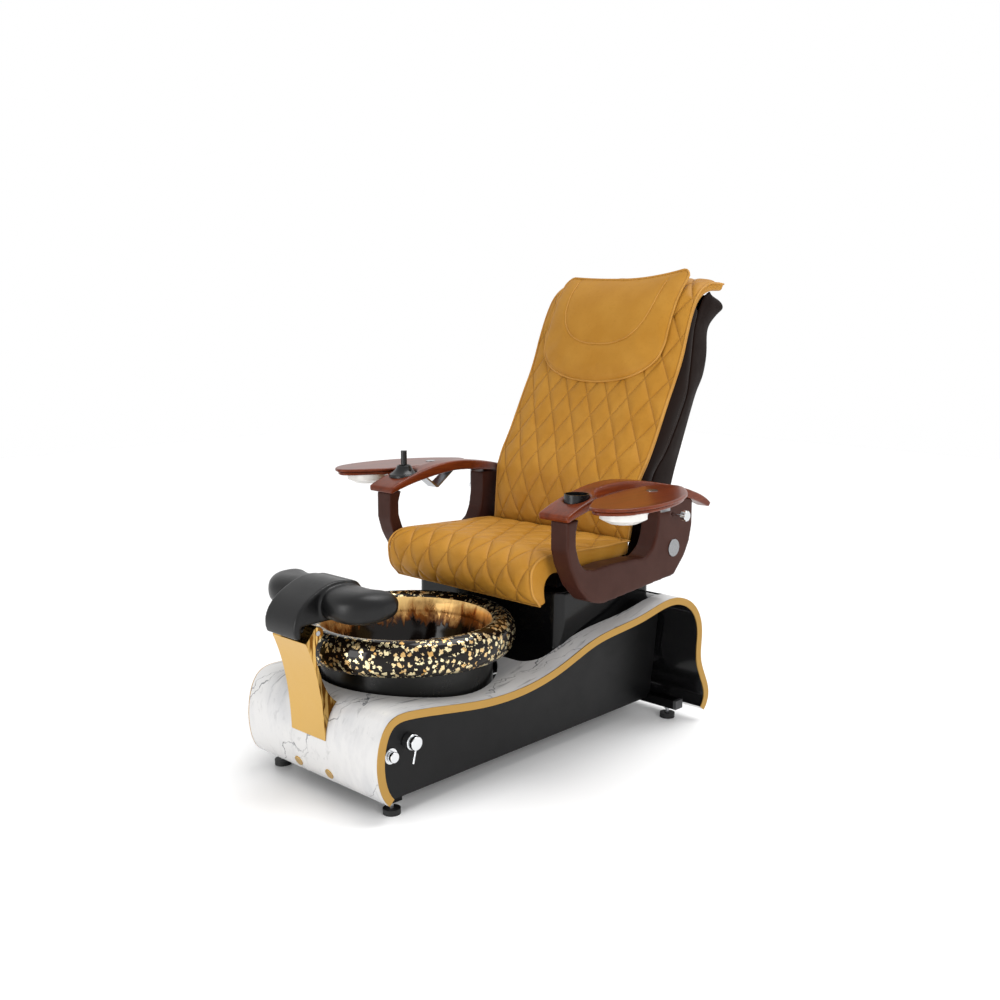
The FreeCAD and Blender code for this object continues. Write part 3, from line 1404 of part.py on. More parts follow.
cap_plan = [
    Vector(n.cap_inner, n.cap_front_y - 20, 0), Vector(n.cap_outer, n.cap_front_y - 20, 0),
    Vector(n.cap_outer, n.cap_front_y + 112, 0), Vector(n.cap_narrow, n.cap_front_y + 158, 0),
    Vector(n.cap_narrow, n.cap_arch_y + 152, 0), Vector(n.cap_tail, n.cap_arch_y + 210, 0),
    Vector(n.cap_tail - 4, n.cap_rear_y + 20, 0), Vector(n.cap_tail - 46, n.cap_rear_y + 20, 0),
    Vector(n.cap_inner + 30, n.cap_arch_y + 190, 0), Vector(n.cap_inner, n.cap_arch_y + 60, 0),
]
cap_side = prism(closed_side(cap_top, cap_under), Vector(140, 0, 0))
cap_side.translate(Vector(n.cap_inner - 20, 0, 0))
cap_shape = prism(rounded_wire(cap_plan, [12, 12, 30, 40, 30, 30, 12, 12, 60, 160]), Vector(0, 0, 900))
cap_shape = cap_shape.common(cap_side)
ceiling = list(cap_under)
ceiling_edges = [
    spline_edge(ceiling),
    Part.LineSegment(ceiling[-1], Vector(0, ceiling[-1].y, 300)).toShape(),
    Part.LineSegment(Vector(0, ceiling[-1].y, 300), Vector(0, ceiling[0].y, 300)).toShape(),
    Part.LineSegment(Vector(0, ceiling[0].y, 300), ceiling[0]).toShape(),
]
under_cap = prism(Part.Wire(ceiling_edges), Vector(300, 0, 0))
under_cap.translate(Vector(n.cap_inner - 100, 0, 0))


def arm_panel():
    """The painted panel of the left arm."""
    count = len(arm_outline)
    lines = rounded_wire([point + Vector(n.arm_inner, 0, 0) for point in arm_outline],
                         [0, 60, 80, 90, 60, 120, 300, 20, 60, 60, 60, 0][:count])
    panel_solid = prism(lines, Vector(n.arm_outer - n.arm_inner, 0, 0))
    hole = prism(rounded_wire([point + Vector(n.arm_inner - 5, 0, 0) for point in window_outline],
                              [0, 60, 60, 60, 40, 30, 60, 300, 120, 40, 30, 50, 90, 0]),
                 Vector(n.arm_outer - n.arm_inner + 10, 0, 0))
    panel_solid = panel_solid.cut(hole).common(under_cap)
    bore = round_bar(n.pivot_radius + n.pin_gap, pivot, pivot + Vector(n.arm_outer - 9, 0, 0))
    lock_spot = Vector(n.arm_outer - n.lock_bore_deep, n.lock_y, n.lock_z)
    lock_bore = round_bar(n.lock_rod + n.pin_gap, lock_spot, lock_spot + Vector(80, 0, 0))
    return panel_solid.cut(bore).cut(lock_bore)


arm_left = arm_panel()
cup_spot = Vector(n.cup_x, n.cup_y, n.cup_low)
cup = Part.makeCylinder(n.cup_radius, n.cup_top - n.cup_low, cup_spot)
cup_room = Part.makeCylinder(n.cup_radius - n.cup_wall, n.cup_top - n.cup_low, cup_spot + Vector(0, 0, 4))
stick_spot = Vector(-n.cup_x, n.cup_y, n.stick_low)
base_room = Part.makeCylinder(n.stick_base, 60, stick_spot)
node("arm_panel_left", direct("arm_panel_left", arm_left))
node("arm_panel_right", direct("arm_panel_right", mirrored(arm_left)))
node("arm_cap_left", direct("arm_cap_left", cap_shape.cut(Part.makeCylinder(n.cup_radius, 60, cup_spot))))
node("arm_cap_right", direct("arm_cap_right", mirrored(cap_shape).cut(base_room)))
node("cup_holder", direct("cup_holder", cup.cut(cup_room)))
badge = round_bar(n.badge_radius, pivot + Vector(n.arm_outer, 0, 0), pivot + Vector(n.arm_outer + n.badge_thick, 0, 0))
node("arm_disc", direct("arm_disc", badge.makeFillet(n.badge_thick / 3, [badge.Edges[0], badge.Edges[2]])))

stick_base = revolved("stick_base_turned", [
    (0, 0, None), (b.stick_base, 0, None), (b.stick_base, 8, 34), (17, b.stick_dome, None),
    (14, b.stick_dome, None), (14, b.stick_dome - 6, None), (19, b.stick_dome - 9, None), (19, 4, None), (0, 4, None),
])
place(stick_base, -b.cup_x, b.cup_y, b.stick_low)
stick_pivot = stick_spot + Vector(0, 0, n.stick_pivot)
gimbal_bore = cylinder("gimbal_bore", b.pin_gap + 2.5, 48, -b.cup_x - 24, b.cup_y, b.stick_low + b.stick_pivot, ALONG_X)
node("joystick_base", cut("joystick_base", stick_base, gimbal_bore))
gimbal = Part.makeCylinder(13, 6, stick_pivot - Vector(0, 0, 3)).cut(Part.makeCylinder(9, 8, stick_pivot - Vector(0, 0, 4)))
for sign in (-1, 1):
    gimbal = gimbal.fuse(round_bar(2.5, stick_pivot + Vector(sign * 11, 0, 0), stick_pivot + Vector(sign * 23, 0, 0)))
gimbal = gimbal.cut(round_bar(2 + n.pin_gap, stick_pivot - Vector(0, 30, 0), stick_pivot + Vector(0, 30, 0)))
node("joystick_gimbal", direct("joystick_gimbal", gimbal.removeSplitter()))
stick = Part.makeCylinder(5, 27.6, stick_pivot - Vector(0, 0, 2.6))
stick = stick.fuse(Part.makeCylinder(n.stick_radius, n.stick_top - stick_pivot.z - 22, stick_pivot + Vector(0, 0, 22)))
stick = stick.fuse(round_bar(2, stick_pivot - Vector(0, 12.5, 0), stick_pivot + Vector(0, 12.5, 0)))
node("joystick_stick", direct("joystick_stick", stick.removeSplitter()))

# Lock knobs: a rod in the arm's bore with a fluted knob

lock_spot = Vector(n.arm_outer, n.lock_y, n.lock_z)
lock = round_bar(n.lock_rod, lock_spot - Vector(n.lock_bore_deep - 12, 0, 0), lock_spot + Vector(n.lock_reach + 1, 0, 0))
knob = round_bar(n.lock_knob_radius, lock_spot + Vector(n.lock_reach, 0, 0),
                 lock_spot + Vector(n.lock_reach + n.lock_knob_thick, 0, 0))
knob = knob.makeFillet(2, [knob.Edges[0], knob.Edges[2]])
for count in range(8):
    spin = Rotation(Vector(1, 0, 0), 45 * count)
    groove = lock_spot + spin.multVec(Vector(0, 0, n.lock_knob_radius + 2))
    knob = knob.cut(round_bar(3.5, groove, groove + Vector(100, 0, 0)))
lock = lock.fuse(knob).removeSplitter()
node("lock_knob_left", direct("lock_knob_left", lock))
node("lock_knob_right", direct("lock_knob_right", mirrored(lock)))

# Trays and lids: a leaf-shaped board on a bracket, a dish in it and a lid on a hinge at its inner side

tilt = math.radians(n.lid_tilt)
lid_along = Vector(math.sin(tilt), -math.cos(tilt), 0)
lid_across = Vector(math.cos(tilt), math.sin(tilt), 0)


def lid_spot(along, across, height):
    """A point of the left lid from distances along and across it."""
    return Vector(n.lid_x, n.lid_y, 0) + lid_along * along + lid_across * across + Vector(0, 0, height)


leaf = [
    (1.0, -0.1), (0.88, 0.44), (0.54, 0.84), (0.08, 1.0), (-0.42, 0.88), (-0.78, 0.52), (-0.98, 0.06),
    (-0.93, -0.3), (-0.6, -0.68), (-0.16, -0.9), (0.34, -0.88), (0.74, -0.6),
]


def leaf_prism(inset, low, high):
    """The leaf outline drawn in from its edge, between two heights, flat along its hinge."""
    along_size = n.lid_long - inset
    across_size = n.lid_wide - inset
    points = [lid_spot(a * along_size, c * across_size, low) for a, c in leaf]
    curve = Part.BSplineCurve()
    curve.interpolate(points, PeriodicFlag=True)
    solid = prism(Part.Wire(curve.toShape()), Vector(0, 0, high - low))
    corners = [lid_spot(-300, n.hinge_flat, low - 1), lid_spot(300, n.hinge_flat, low - 1),
               lid_spot(300, n.hinge_flat + 300, low - 1), lid_spot(-300, n.hinge_flat + 300, low - 1)]
    return solid.common(prism(Part.makePolygon(corners + corners[:1]), Vector(0, 0, high - low + 2)))


axis_z = n.lid_low - n.gap / 2
axis_across = n.hinge_flat - n.lid_knuckle_radius - n.gap


def hinge_bar(radius, start, stop):
    """A round bar on the lid's hinge axis."""
    return round_bar(radius, lid_spot(start, axis_across, axis_z), lid_spot(stop, axis_across, axis_z))


def hinge_leaf(start, stop, low, high):
    """A flat leaf from the hinge axis into the board or the lid."""
    inner = axis_across
    outer = n.hinge_flat + 12
    corners = [lid_spot(start, inner, low), lid_spot(stop, inner, low),
               lid_spot(stop, outer, low), lid_spot(start, outer, low)]
    return prism(Part.makePolygon(corners + corners[:1]), Vector(0, 0, high - low))


knuckle = n.lid_knuckle
lid_hinge = hinge_bar(n.lid_axis_radius, -1.5 * knuckle, 1.5 * knuckle)
for start in (-1.5 * knuckle, knuckle / 2 + n.gap):
    stop = start + knuckle - n.gap
    lid_hinge = lid_hinge.fuse(hinge_bar(n.lid_knuckle_radius, start, stop))
    lid_hinge = lid_hinge.fuse(hinge_leaf(start, stop, n.lid_low + 1, n.lid_low + 3))
board_hinge = hinge_bar(n.lid_knuckle_radius, -knuckle / 2 + n.gap, knuckle / 2 - n.gap).fuse(
    hinge_leaf(-knuckle / 2 + n.gap, knuckle / 2 - n.gap, n.lid_low - 5, n.lid_low - n.gap))

board_top = n.lid_low - n.gap
pin_spot = lid_spot(n.tray_pin_along, n.tray_pin_across, 0)
dish_spot = lid_spot(n.dish_along, n.dish_across, 0)
tray_board = leaf_prism(n.board_margin, n.board_low, board_top)
tray_board = tray_board.cut(Part.makeCylinder(n.tray_pin_radius + n.pin_gap, 900, pin_spot))
tray_board = tray_board.cut(Part.makeCylinder(n.dish_radius + 0.2, 900, dish_spot))
tray_board = tray_board.fuse(board_hinge).removeSplitter().cut(hinge_bar(n.lid_axis_radius + n.pin_gap, -60, 60))
lid_board = leaf_prism(0, n.lid_low, n.lid_low + n.lid_thick)
top_rim = [edge for edge in lid_board.Edges if edge.CenterOfMass.z > n.lid_low + n.lid_thick - 0.01]
lid_board = lid_board.makeChamfer(3, top_rim).cut(lid_hinge)
emblem_spot = lid_spot(-96, -10, n.lid_low + n.lid_thick)
emblem = Part.makeCylinder(n.emblem_radius, n.emblem_thick, emblem_spot)

rim_z = board_top - 1
dish = Part.makeCylinder(n.dish_radius, rim_z - n.dish_low - 14, dish_spot + Vector(0, 0, n.dish_low + 14))
bowl_end = Part.makeCone(n.dish_radius - 22, n.dish_radius, 14, dish_spot + Vector(0, 0, n.dish_low))
dish = dish.fuse(bowl_end)
dish_room = Part.makeCylinder(n.dish_radius - n.dish_wall, rim_z - n.dish_low, dish_spot + Vector(0, 0, n.dish_low + 15))
dish_end = Part.makeCone(n.dish_radius - 24, n.dish_radius - n.dish_wall, 12, dish_spot + Vector(0, 0, n.dish_low + 3))
dish = dish.removeSplitter().cut(dish_room.fuse(dish_end).removeSplitter())

bar_top = n.board_low - n.gap
bracket_start = 40
bracket = Part.makeBox(46, n.lid_y + 230 - bracket_start, n.bracket_thick,
                       Vector(n.arm_outer + 6, bracket_start, bar_top - n.bracket_thick))
bracket = bracket.fuse(Part.makeCylinder(n.tray_boss_radius + 8, n.bracket_thick,
                                         pin_spot + Vector(0, 0, bar_top - n.bracket_thick)))
bracket = bracket.fuse(Part.makeCylinder(n.tray_pin_radius, board_top - 1 - bar_top + n.bracket_thick,
                                         pin_spot + Vector(0, 0, bar_top - n.bracket_thick)))
vee = [(bracket_start, bar_top - 1), (105, 650), (112, 650), (182, bar_top - 1), (176, bar_top - 1), (109, 655),
       (bracket_start + 6, bar_top - 1)]
vee_points = side_points(vee, n.arm_outer + 8)
bracket = bracket.fuse(prism(Part.makePolygon(vee_points + vee_points[:1]), Vector(40, 0, 0)))
flange = Part.makeBox(n.bracket_thick, 42, 56, Vector(n.arm_outer, 248, bar_top - 56))
shelf = Part.makeBox(12, 20, n.bracket_thick, Vector(n.arm_outer, 248, bar_top - n.bracket_thick))
bracket = bracket.fuse(flange).fuse(shelf).cut(cap_shape)

for word, change in (("left", lambda shape: shape), ("right", mirrored)):
    node("tray_bracket_" + word, direct("tray_bracket_" + word, change(bracket.removeSplitter())))
    node("tray_board_" + word, direct("tray_board_" + word, change(tray_board)))
    node("dish_" + word, direct("dish_" + word, change(dish)))
    node("lid_" + word, direct("lid_" + word, change(lid_board)))
    node("lid_hinge_" + word, direct("lid_hinge_" + word, change(lid_hinge.removeSplitter())))
    node("lid_emblem_" + word, direct("lid_emblem_" + word, change(emblem)))

doc.recompute()

problems = []
for thing in doc.Objects:
    if "Invalid" in thing.State or "Error" in thing.State:
        problems.append("%s is %s" % (thing.Name, ", ".join(thing.State)))
for name, thing in nodes.items():
    shape = thing.Shape
    if shape.isNull() or not shape.isValid() or not shape.Solids:
        problems.append("%s has no valid solid" % name)
if problems:
    raise RuntimeError("; ".join(problems))

os.makedirs("parts", exist_ok=True)
for name, thing in nodes.items():
    thing.Shape.exportStep(os.path.join("parts", name + ".step"))
print(len(nodes), "sub-parts written")
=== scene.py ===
"""Looks of a pedicure spa chair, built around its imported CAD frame.

Every length in the size classes is in millimetres in the frame's own axes: +X to the sitter's left, the chair
faces -Y and +Z is up. Meshes are made in metres.
"""

import json
import logging
import math
import random
from bisect import bisect_right
from collections.abc import Callable, Sequence
from dataclasses import dataclass, replace
from enum import Enum

import bmesh
import bpy
from mathutils import Matrix, Vector, noise
from mathutils.bvhtree import BVHTree

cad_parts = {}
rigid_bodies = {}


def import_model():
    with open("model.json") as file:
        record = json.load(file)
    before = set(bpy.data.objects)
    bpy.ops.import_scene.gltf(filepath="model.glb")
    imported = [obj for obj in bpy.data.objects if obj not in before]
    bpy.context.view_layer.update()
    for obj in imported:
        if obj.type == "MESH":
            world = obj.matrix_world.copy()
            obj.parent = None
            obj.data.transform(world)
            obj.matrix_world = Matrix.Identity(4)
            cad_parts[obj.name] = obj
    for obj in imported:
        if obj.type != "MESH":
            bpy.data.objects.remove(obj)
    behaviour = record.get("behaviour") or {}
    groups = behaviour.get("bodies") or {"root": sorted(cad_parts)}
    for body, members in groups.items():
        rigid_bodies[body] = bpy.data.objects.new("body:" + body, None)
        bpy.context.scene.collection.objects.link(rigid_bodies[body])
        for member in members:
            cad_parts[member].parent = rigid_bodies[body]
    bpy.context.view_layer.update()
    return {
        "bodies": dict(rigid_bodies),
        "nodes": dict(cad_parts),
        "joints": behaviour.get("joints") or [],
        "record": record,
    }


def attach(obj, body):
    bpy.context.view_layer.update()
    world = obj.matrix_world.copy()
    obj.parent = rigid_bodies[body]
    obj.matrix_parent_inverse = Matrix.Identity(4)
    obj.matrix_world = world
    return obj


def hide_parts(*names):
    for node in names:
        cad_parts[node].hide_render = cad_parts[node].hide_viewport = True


log = logging.getLogger("spa_chair")
MM = 0.001
# Corners this close in metres are one corner, in the meshes made here and in those of the CAD
WELD = 1e-6
CAD_WELD = 2e-5
Pair = tuple[float, float]
Triple = tuple[float, float, float]
Input = bpy.types.NodeSocket | float | tuple[float, ...]


# Small tools


def linear(code: str) -> tuple[float, float, float, float]:
    """Turns an sRGB hex code into a linear colour."""
    parts = [int(code[index:index + 2], 16) / 255 for index in (1, 3, 5)]
    return (*[part / 12.92 if part <= 0.04045 else ((part + 0.055) / 1.055) ** 2.4 for part in parts], 1.0)


def plug(tree: bpy.types.NodeTree, socket: bpy.types.NodeSocket, value: Input) -> None:
    """Links an input to another node's output, or sets its value."""
    if isinstance(value, bpy.types.NodeSocket):
        tree.links.new(value, socket)
    else:
        socket.default_value = value


def add_node(tree: bpy.types.NodeTree, kind: str, inputs: dict[str | int, Input] | None = None,
             **settings: str) -> bpy.types.Node:
    """Adds one node to a tree.

    Args:
        tree: The shader or geometry tree.
        kind: The node's type name.
        inputs: A value or another node's output for each named or numbered input.
        settings: Values for the node's own properties.

    Returns:
        The new node.
    """
    node = tree.nodes.new(kind)
    for key, value in settings.items():
        setattr(node, key, value)
    for key, value in (inputs or {}).items():
        plug(tree, node.inputs[key], value)
    return node


class Curve2D:
    """A smooth line through points in the YZ plane, walked by its own length.

    Its direction at a place is that between two points at a small share of its length before and after.
    """

    NEARBY = 0.004

    def __init__(self, points: Sequence[Pair], steps: int = 16) -> None:
        """Joins the points by a Catmull-Rom line and measures it."""
        self.steps = steps
        spots = [Vector(point) for point in points]
        ends = [2 * spots[0] - spots[1], *spots, 2 * spots[-1] - spots[-2]]
        self.line: list[Vector] = []
        for a, b, c, d in zip(ends, ends[1:], ends[2:], ends[3:]):
            for step in range(steps):
                t = step / steps
                self.line.append(0.5 * (2 * b + (c - a) * t + (2 * a - 5 * b + 4 * c - d) * t * t
                                        + (3 * b - a - 3 * c + d) * t ** 3))
        self.line.append(spots[-1])
        self.marks = [0.0]
        for a, b in zip(self.line, self.line[1:]):
            self.marks.append(self.marks[-1] + (b - a).length)
        self.length = self.marks[-1]

    def at(self, share: float) -> Vector:
        """Gives the point at a share of the line's length."""
        goal = min(max(share, 0.0), 1.0) * self.length
        low = min(bisect_right(self.marks, goal), len(self.marks) - 1) - 1
        span = self.marks[low + 1] - self.marks[low]
        return self.line[low].lerp(self.line[low + 1], (goal - self.marks[low]) / span if span else 0.0)

    def through(self, place: float) -> Vector:
        """Gives a point between two of the points that the line was drawn through, counted from 0."""
        low = min(int(place * self.steps), len(self.line) - 1)
        high = min(low + 1, len(self.line) - 1)
        return self.line[low].lerp(self.line[high], place * self.steps - low)

    def way(self, share: float) -> Vector:
        """Gives the line's direction at a share of its length."""
        return (self.at(share + self.NEARBY) - self.at(share - self.NEARBY)).normalized()

    def share_near(self, y: float, z: float) -> float:
        """Gives the share of the length that comes nearest to a point."""
        goal = Vector((y, z))
        best = min(range(len(self.line)), key=lambda index: (self.line[index] - goal).length_squared)
        return self.marks[best] / self.length


def between(table: Sequence[Pair], value: float) -> float:
    """Reads a table of pairs at a value, with straight runs between its rows."""
    if value <= table[0][0]:
        return table[0][1]
    for (low, first), (high, last) in zip(table, table[1:]):
        if value <= high:
            return first + (last - first) * (value - low) / (high - low)
    return table[-1][1]


def blended(first: Pair, last: Pair, share: float) -> Pair:
    """Gives the pair at a share of the way from one pair to another."""
    return first[0] + (last[0] - first[0]) * share, first[1] + (last[1] - first[1]) * share


def spread_out(columns: int, even: float, bowed: float) -> list[float]:
    """Gives places across from -1 to 1 that draw together at the edges, by the shares of even and bowed ones."""
    turns = [2 * column / columns - 1 for column in range(columns + 1)]
    return [even * turn + bowed * math.sin(math.pi / 2 * turn) for turn in turns]


def crowned(unit: float) -> float:
    """Gives a cushion's height as a share of its crown, at a share of its half width."""
    return 0.35 * (1 - unit ** 2) + 0.65 * math.sqrt(max(0.0, 1 - unit ** 7))


def linked(name: str, data: bpy.types.ID) -> bpy.types.Object:
    """Makes an object of a mesh, a lamp or a camera and puts it in the scene."""
    thing = bpy.data.objects.new(name, data)
    bpy.context.scene.collection.objects.link(thing)
    log.info("made %s", thing.name)
    return thing


def shade(mesh: bpy.types.Mesh, smooth: bool = True) -> None:
    """Shades every face of a mesh smooth or flat."""
    mesh.polygons.foreach_set("use_smooth", [smooth] * len(mesh.polygons))


def mesh_piece(name: str, spots: Sequence[Vector], faces: Sequence[Sequence[int]],
               material: bpy.types.Material) -> bpy.types.Object:
    """Makes a smooth object from points in millimetres, with its normals outward.

    Args:
        name: The piece's name.
        spots: Corner points in millimetres.
        faces: Corner numbers of each face.
        material: The piece's material.

    Returns:
        The linked object.
    """
    mesh = bpy.data.meshes.new(name)
    mesh.from_pydata([spot * MM for spot in spots], [], faces)
    work = bmesh.new()
    work.from_mesh(mesh)
    bmesh.ops.remove_doubles(work, verts=work.verts, dist=WELD)
    bmesh.ops.recalc_face_normals(work, faces=work.faces)
    work.to_mesh(mesh)
    work.free()
    shade(mesh)
    mesh.materials.append(material)
    return linked(name, mesh)


def applied(piece: bpy.types.Object) -> None:
    """Turns a piece's modifiers into plain mesh."""
    graph = bpy.context.evaluated_depsgraph_get()
    mesh = bpy.data.meshes.new_from_object(piece.evaluated_get(graph))
    old = piece.data
    piece.modifiers.clear()
    piece.data = mesh
    bpy.data.meshes.remove(old)


def subdivided(piece: bpy.types.Object, levels: int) -> None:
    """Rounds a piece by subdivision and applies it."""
    modifier = piece.modifiers.new("round", "SUBSURF")
    modifier.levels = levels
    modifier.render_levels = levels
    applied(piece)


def moved(piece: bpy.types.Object, shift: Callable[[Vector, Vector], Vector]) -> None:
    """Moves every vertex by a function of its place and normal, both in millimetres."""
    piece.data.update()
    normals = [vertex.normal.copy() for vertex in piece.data.vertices]
    for vertex, normal in zip(piece.data.vertices, normals):
        vertex.co += shift(vertex.co / MM, normal) * MM
    piece.data.update()


# A vinyl cover, stiff against stretching and limp in bending
COVER_CLOTH = {"quality": 6, "mass": 0.4, "tension_stiffness": 12, "compression_stiffness": 12,
               "bending_stiffness": 2.0, "use_pressure": True}
CLOTH_FRAMES = 20


def inflated(piece: bpy.types.Object, fixed: Sequence[int], pressure: float, cap: float) -> None:
    """Fills a closed cover like a cushion by a short cloth run.

    Args:
        piece: The cushion's closed cover.
        fixed: Vertices held in place, such as those of a seam.
        pressure: The air pressure inside.
        cap: The furthest that a vertex may move, in millimetres.
    """
    before = [vertex.co.copy() for vertex in piece.data.vertices]
    pins = piece.vertex_groups.new(name="seams")
    pins.add(list(fixed), 1.0, "REPLACE")
    cloth = piece.modifiers.new("fill", "CLOTH")
    for key, value in {**COVER_CLOTH, "uniform_pressure_force": pressure, "vertex_group_mass": pins.name}.items():
        setattr(cloth.settings, key, value)
    cloth.settings.effector_weights.gravity = 0.0
    cloth.point_cache.frame_start = 1
    cloth.point_cache.frame_end = CLOTH_FRAMES
    for frame in range(1, CLOTH_FRAMES + 1):
        bpy.context.scene.frame_set(frame)
    applied(piece)
    bpy.context.scene.frame_set(1)
    for vertex, old in zip(piece.data.vertices, before):
        step = vertex.co - old
        if step.length > cap * MM:
            vertex.co = old + step.normalized() * cap * MM
    piece.vertex_groups.clear()
    piece.data.update()


TUBE_SIDES = 8


def tube(name: str, path: Sequence[Vector], radius: float, material: bpy.types.Material,
         closed: bool = False) -> bpy.types.Object:
    """Sweeps a round section along a path.

    Args:
        name: The piece's name.
        path: The points it follows, in millimetres.
        radius: The section's radius, in millimetres.
        material: The piece's material.
        closed: Whether the path joins its own start.

    Returns:
        The linked tube.
    """
    spots: list[Vector] = []
    count, sides = len(path), TUBE_SIDES
    frame_side = None
    for index, spot in enumerate(path):
        after = path[(index + 1) % count] if closed or index < count - 1 else spot
        before = path[index - 1] if closed or index > 0 else spot
        way = (after - before).normalized()
        if frame_side is None:
            frame_side = way.orthogonal().normalized()
        frame_side = (frame_side - way * frame_side.dot(way)).normalized()
        other = way.cross(frame_side)
        spots += [spot + radius * (math.cos(turn) * frame_side + math.sin(turn) * other)
                  for turn in (math.tau * side / sides for side in range(sides))]
    faces = []
    for index in range(count if closed else count - 1):
        here, there = index * sides, (index + 1) % count * sides
        faces += [(here + side, here + (side + 1) % sides, there + (side + 1) % sides, there + side)
                  for side in range(sides)]
    if not closed:
        faces.append(tuple(range(sides)))
        faces.append(tuple(range((count - 1) * sides, count * sides)))
    return mesh_piece(name, spots, faces, material)


def laid_on(piece: bpy.types.Object, path: Sequence[Vector], lift: float) -> list[Vector]:
    """Drops a path in millimetres onto a piece's surface and lifts it a little."""
    graph = bpy.context.evaluated_depsgraph_get()
    tree = BVHTree.FromObject(piece, graph)
    result = []
    for spot in path:
        place, normal, _, _ = tree.find_nearest(spot * MM)
        result.append(place / MM + normal * lift)
    return result


def spaced(path: Sequence[Vector], step: float, closed: bool = False) -> list[Vector]:
    """Walks a path in even steps."""
    points = list(path) + ([path[0]] if closed else [])
    marks = [0.0]
    for a, b in zip(points, points[1:]):
        marks.append(marks[-1] + (b - a).length)
    count = max(2, round(marks[-1] / step))
    result = []
    index = 0
    for number in range(count + (0 if closed else 1)):
        goal = marks[-1] * number / count
        while index < len(marks) - 2 and marks[index + 1] < goal:
            index += 1
        span = marks[index + 1] - marks[index]
        result.append(points[index].lerp(points[index + 1], (goal - marks[index]) / span if span else 0.0))
    return result


# Stitches of the diamonds and of the side leathers, in metres
QUILT_STITCH = {"Pitch": 0.0062, "Length": 0.0042, "Thickness": 0.0005}
SIDE_STITCH = {"Pitch": 0.0065, "Length": 0.0045, "Thickness": 0.0008}


def stitch_tree(thread: bpy.types.Material) -> bpy.types.NodeTree:
    """Makes the geometry tree that lays stitches of one thread along a path."""
    tree = bpy.data.node_groups.new("stitches_" + thread.name, "GeometryNodeTree")
    tree.interface.new_socket("Geometry", in_out="INPUT", socket_type="NodeSocketGeometry")
    for name, value in QUILT_STITCH.items():
        socket = tree.interface.new_socket(name, in_out="INPUT", socket_type="NodeSocketFloat")
        socket.default_value = value
    tree.interface.new_socket("Geometry", in_out="OUTPUT", socket_type="NodeSocketGeometry")
    given = add_node(tree, "NodeGroupInput")
    line = add_node(tree, "GeometryNodeMeshToCurve", {"Mesh": given.outputs["Geometry"]})
    spots = add_node(tree, "GeometryNodeCurveToPoints", {
        "Curve": line.outputs["Curve"], "Length": given.outputs["Pitch"]}, mode="LENGTH")
    stitch = add_node(tree, "GeometryNodeMeshUVSphere", {"Segments": 6, "Rings": 4, "Radius": 1.0})
    size = add_node(tree, "ShaderNodeCombineXYZ", {
        "X": given.outputs["Thickness"], "Y": given.outputs["Thickness"], "Z": given.outputs["Length"]})
    half = add_node(tree, "ShaderNodeVectorMath", {0: size.outputs[0], 1: (1.0, 1.0, 0.5)}, operation="MULTIPLY")
    shaped = add_node(tree, "GeometryNodeTransform", {"Geometry": stitch.outputs["Mesh"], "Scale": half.outputs[0]})
    turned = add_node(tree, "FunctionNodeAlignRotationToVector", {"Vector": spots.outputs["Tangent"]}, axis="Z")
    copies = add_node(tree, "GeometryNodeInstanceOnPoints", {
        "Points": spots.outputs["Points"], "Instance": shaped.outputs["Geometry"],
        "Rotation": turned.outputs["Rotation"]})
    real = add_node(tree, "GeometryNodeRealizeInstances", {"Geometry": copies.outputs["Instances"]})
    dressed = add_node(tree, "GeometryNodeSetMaterial", {"Geometry": real.outputs["Geometry"], "Material": thread})
    add_node(tree, "NodeGroupOutput", {"Geometry": dressed.outputs["Geometry"]})
    return tree


def stitches(name: str, paths: Sequence[Sequence[Vector]], tree: bpy.types.NodeTree,
             sizes: dict[str, float]) -> bpy.types.Object:
    """Lays one run of stitches along each path.

    Args:
        name: The piece's name.
        paths: Paths in millimetres.
        tree: The stitch tree of the thread.
        sizes: Values in metres for the tree's named inputs.

    Returns:
        The stitches as one plain mesh.
    """
    spots: list[Vector] = []
    edges = []
    for path in paths:
        edges += [(len(spots) + index, len(spots) + index + 1) for index in range(len(path) - 1)]
        spots += path
    mesh = bpy.data.meshes.new(name)
    mesh.from_pydata([spot * MM for spot in spots], edges, [])
    piece = linked(name, mesh)
    modifier = piece.modifiers.new("stitches", "NODES")
    modifier.node_group = tree
    for item in tree.interface.items_tree:
        if item.item_type == "SOCKET" and item.in_out == "INPUT" and item.name in sizes:
            modifier[item.identifier] = sizes[item.name]
    applied(piece)
    shade(piece.data)
    return piece


# Finishes


